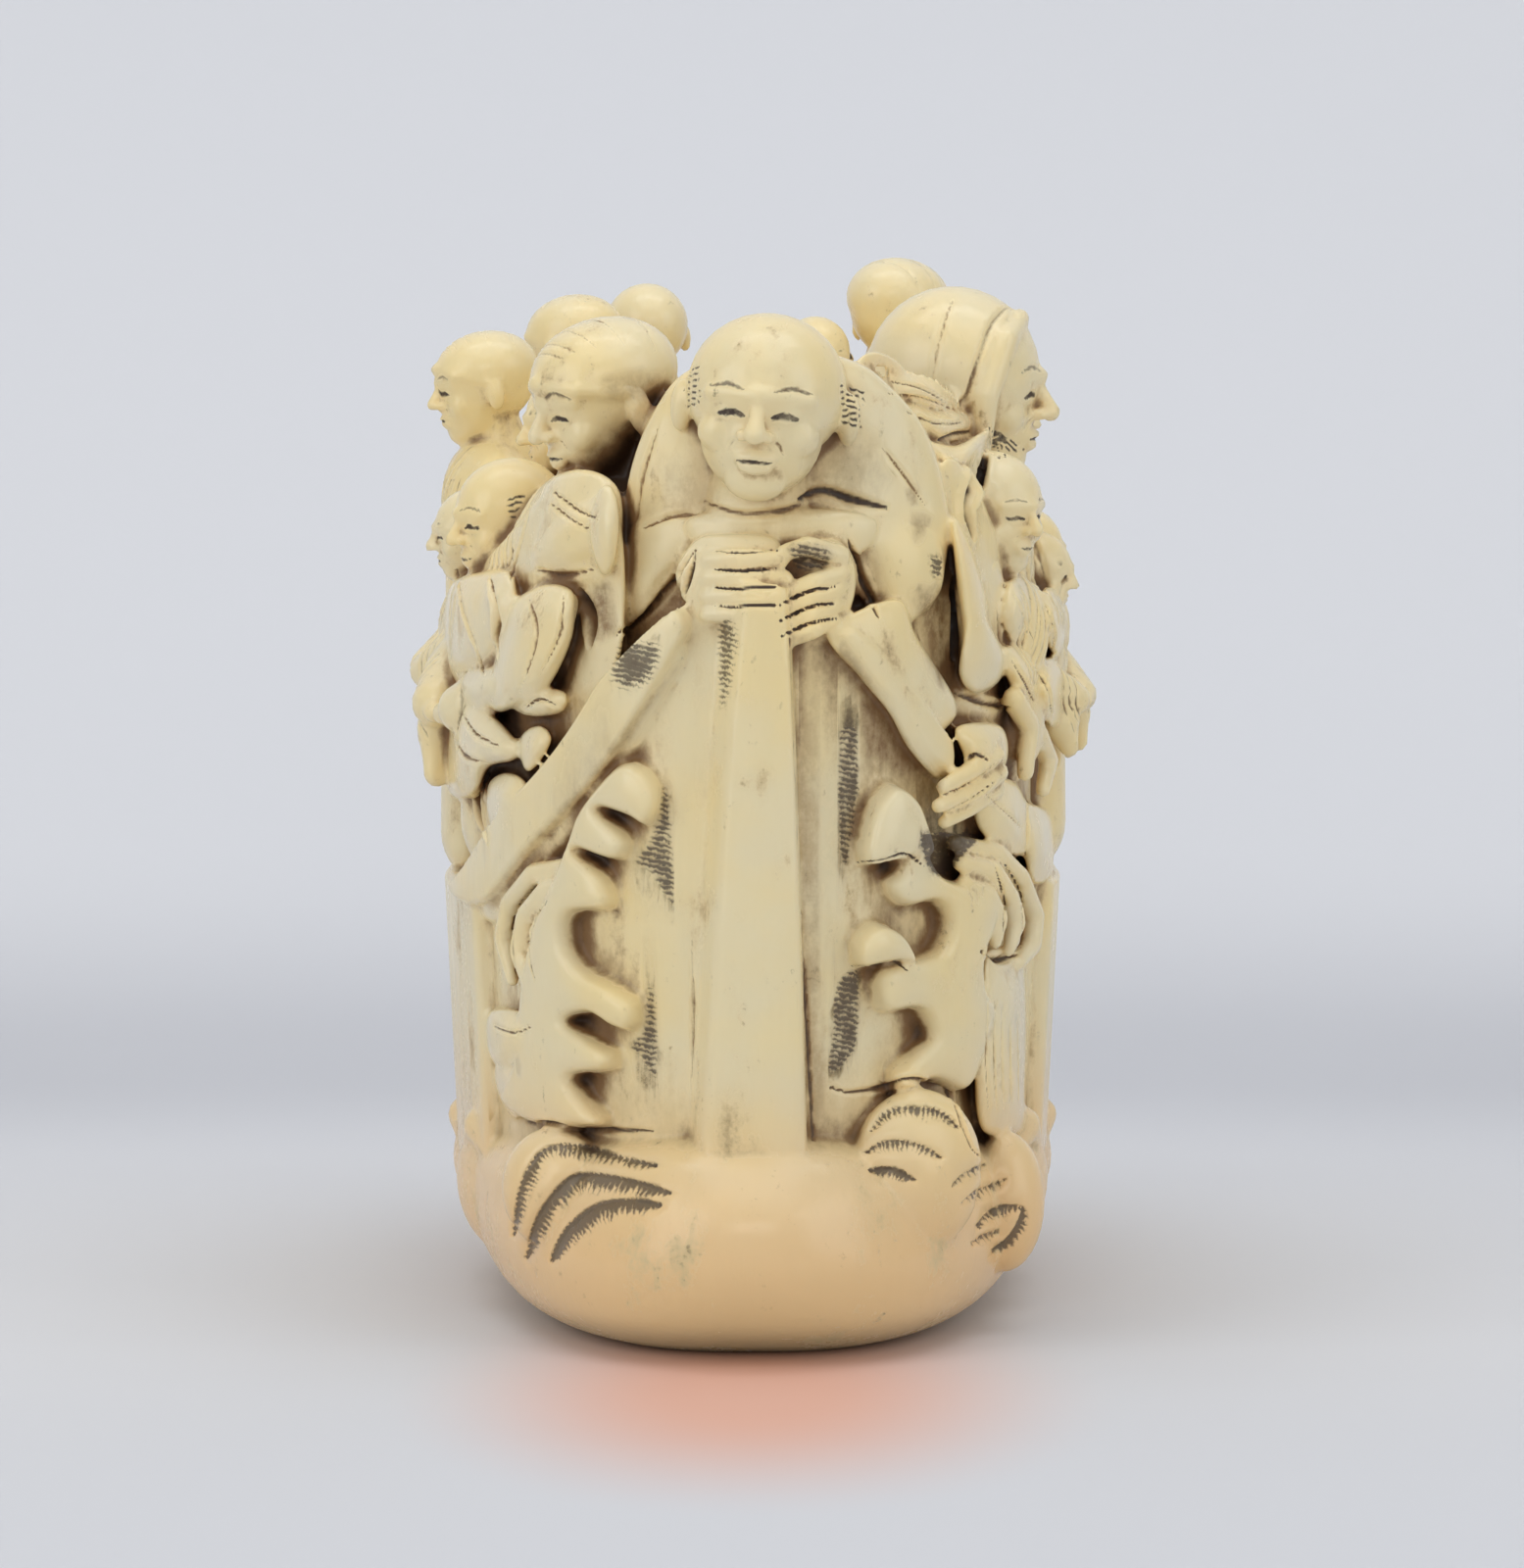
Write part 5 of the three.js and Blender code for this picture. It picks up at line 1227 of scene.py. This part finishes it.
    # strokes of the graver lie across each hatched line, long in the middle and ragged at the ends
    wobble = sums("ADD", layer["along"], sums("MULTIPLY", speckle, 0.4))
    strokes = sums("SINE", sums("MULTIPLY", wobble, 2 * math.pi / ivory["strokePitch"]), 0.0)
    reach = sums("ADD", layer["hatch"], sums("MULTIPLY", strokes, 0.13))
    reach = sums("ADD", reach, sums("MULTIPLY", rough, 0.75))
    scratched = span(reach, 0.22, 0.5, 0.0, 0.82)
    tone = mixed(scratched, tone, ivory["ink"])
    worn = span(rough, -0.3, 0.05, 0.6, 1.0)
    tone = mixed(sums("MULTIPLY", span(layer["ink"], 0.2, 0.75), worn), tone, ivory["ink"])
    dullness = sums("MAXIMUM", sums("MAXIMUM", stainAndPaintedShade, layer["ink"]), sums("MULTIPLY", ground, 0.6))
    roughness = span(dullness, 0.0, 0.9, 0.27, 0.62)
    grain = add(tree, "ShaderNodeBump", {"Height": cloud(0.3, 4, 0.6, (1.0, 1.0, 0.3)), "Distance": 0.03 * mm, "Strength": 0.4})
    scores = add(tree, "ShaderNodeBump", {"Height": scratched, "Distance": 0.06 * mm, "Strength": 0.6,
                                          "Normal": grain.outputs["Normal"]}, invert=True)
    shader = add(tree, "ShaderNodeBsdfPrincipled", {
        "Base Color": tone, "Roughness": roughness, "Normal": scores.outputs["Normal"], "IOR": 1.54, "Subsurface Weight": 0.3,
        "Subsurface Radius": (1.0, 0.62, 0.38), "Subsurface Scale": 0.8 * mm, "Coat Weight": 0.15, "Coat Roughness": 0.15, "Specular IOR Level": 0.35,
    })
    shader.subsurface_method = "BURLEY"
    add(tree, "ShaderNodeOutputMaterial", {"Surface": shader.outputs["BSDF"]})
    return made


netsuke.data.materials.clear()
netsuke.data.materials.append(carvedIvory())
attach(netsuke, "root")
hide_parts("boat_netsuke")
print("finish applied")

# Floor, light and camera

studio = {
    "board": "d8d9dc",
    "shade": "c6c7cb",  # the soft shadow behind, where the board turns up
    "glow": "e9a480",  # light that comes through the foot on to the board
    "bendAt": 0.055,
    "bendRadius": 0.075,
    "tent": ("d3d8e2", 0.4),
    "lights": {
        # place in mm, the place it faces, size in mm, watts
        "above": ((0, -60, 260), (0, 0, 18), (260, 260), 0.24),
        "left": ((-230, -170, 120), (0, 0, 18), (180, 220), 0.24),
        "right": ((230, -150, 110), (0, 0, 18), (180, 220), 0.17),
        "front": ((0, -420, 160), (0, 0, 18), (260, 120), 0.19),
        "behind": ((0, 20, 330), (0, 400, 60), (420, 120), 0.3),
    },
}


def sweep():
    # one board that lies flat and then curves up behind
    form = bmesh.new()
    bmesh.ops.create_grid(form, x_segments=2, y_segments=240, size=1.0)
    start, radius = studio["bendAt"], studio["bendRadius"]
    for vert in form.verts:
        run = vert.co.y - start
        turn = min(max(run / radius, 0), math.pi / 2)
        rise = max(run - radius * math.pi / 2, 0)
        vert.co.y = start + min(run, 0) + radius * math.sin(turn)
        vert.co.z = radius * (1 - math.cos(turn)) + rise
    board = bpy.data.objects.new("board", asMesh(form, "board"))
    if board.data.polygons[0].normal.z < 0:
        board.data.flip_normals()
    board.data.shade_smooth()
    board.data.materials.append(paintedBoard())
    bpy.context.scene.collection.objects.link(board)


def paintedBoard():
    # Matt paper: warm where light comes through the foot, soft grey where it turns up, and nothing seen from its back.
    made = bpy.data.materials.new("Matt paper")
    made.use_nodes = True
    tree = made.node_tree
    tree.nodes.clear()
    place = add(tree, "ShaderNodeTexCoord").outputs["Object"]
    back = add(tree, "ShaderNodeSeparateXYZ", {"Vector": place}).outputs["Y"]
    rising = add(tree, "ShaderNodeMapRange", {"Value": back, "From Min": 0.03, "From Max": 0.062}, interpolation_type="SMOOTHSTEP")
    fading = add(tree, "ShaderNodeMapRange", {"Value": back, "From Min": 0.066, "From Max": 0.088, "To Min": 1.0, "To Max": 0.0},
                 interpolation_type="SMOOTHSTEP")
    dim = add(tree, "ShaderNodeMath", {0: rising.outputs["Result"], 1: fading.outputs["Result"]}, operation="MULTIPLY").outputs[0]
    flat = add(tree, "ShaderNodeMapping", {"Vector": place, "Location": (0.0, 0.0135, 0.0), "Scale": (1.0, 0.5, 1.0)}).outputs["Vector"]
    far = add(tree, "ShaderNodeVectorMath", {0: flat}, operation="LENGTH").outputs["Value"]
    lit = add(tree, "ShaderNodeMapRange", {"Value": far, "From Min": 0.002, "From Max": 0.0125, "To Min": 0.75, "To Max": 0.0},
              interpolation_type="SMOOTHSTEP").outputs["Result"]
    toCamera = add(tree, "ShaderNodeLightPath").outputs["Is Camera Ray"]
    lit = add(tree, "ShaderNodeMath", {0: lit, 1: toCamera}, operation="MULTIPLY").outputs[0]
    plain = add(tree, "ShaderNodeMix", {0: dim}, data_type="RGBA")
    plain.inputs[6].default_value = linear(studio["board"])
    plain.inputs[7].default_value = linear(studio["shade"])
    warm = add(tree, "ShaderNodeMix", {0: lit}, data_type="RGBA")
    tree.links.new(plain.outputs[2], warm.inputs[6])
    warm.inputs[7].default_value = linear(studio["glow"])
    shader = add(tree, "ShaderNodeBsdfPrincipled", {"Base Color": warm.outputs[2], "Roughness": 0.9})
    fromBack = add(tree, "ShaderNodeNewGeometry").outputs["Backfacing"]
    unseen = add(tree, "ShaderNodeMath", {0: fromBack, 1: toCamera}, operation="MULTIPLY").outputs[0]
    clear = add(tree, "ShaderNodeBsdfTransparent")
    either = add(tree, "ShaderNodeMixShader", {0: unseen, 1: shader.outputs["BSDF"], 2: clear.outputs["BSDF"]})
    add(tree, "ShaderNodeOutputMaterial", {"Surface": either.outputs["Shader"]})
    return made


def lights():
    for name, (place, facing, size, watts) in studio["lights"].items():
        light = bpy.data.lights.new(name, "AREA")
        light.shape = "RECTANGLE"
        light.size, light.size_y = size[0] * mm, size[1] * mm
        light.energy = watts
        thing = bpy.data.objects.new(name, light)
        thing.location = Vector(place) * mm
        thing.rotation_euler = (Vector(facing) * mm - thing.location).to_track_quat("-Z", "Y").to_euler()
        bpy.context.scene.collection.objects.link(thing)
    world = bpy.data.worlds.new("Light tent")
    bpy.context.scene.world = world
    world.use_nodes = True
    colour, strength = studio["tent"]
    world.node_tree.nodes["Background"].inputs["Color"].default_value = linear(colour)
    world.node_tree.nodes["Background"].inputs["Strength"].default_value = strength
    bpy.context.scene.view_settings.view_transform = "Standard"


def camera():
    data = bpy.data.cameras.new("camera")
    data.lens = view["lens"]
    data.clip_start, data.clip_end = 0.01, 10
    thing = bpy.data.objects.new("camera", data)
    thing.location = Vector(view["eye"]) * mm
    thing.rotation_euler = (math.radians(90 - view["tilt"]), 0, 0)
    bpy.context.scene.collection.objects.link(thing)
    bpy.context.scene.camera = thing


sweep()
lights()
camera()
print("studio set")
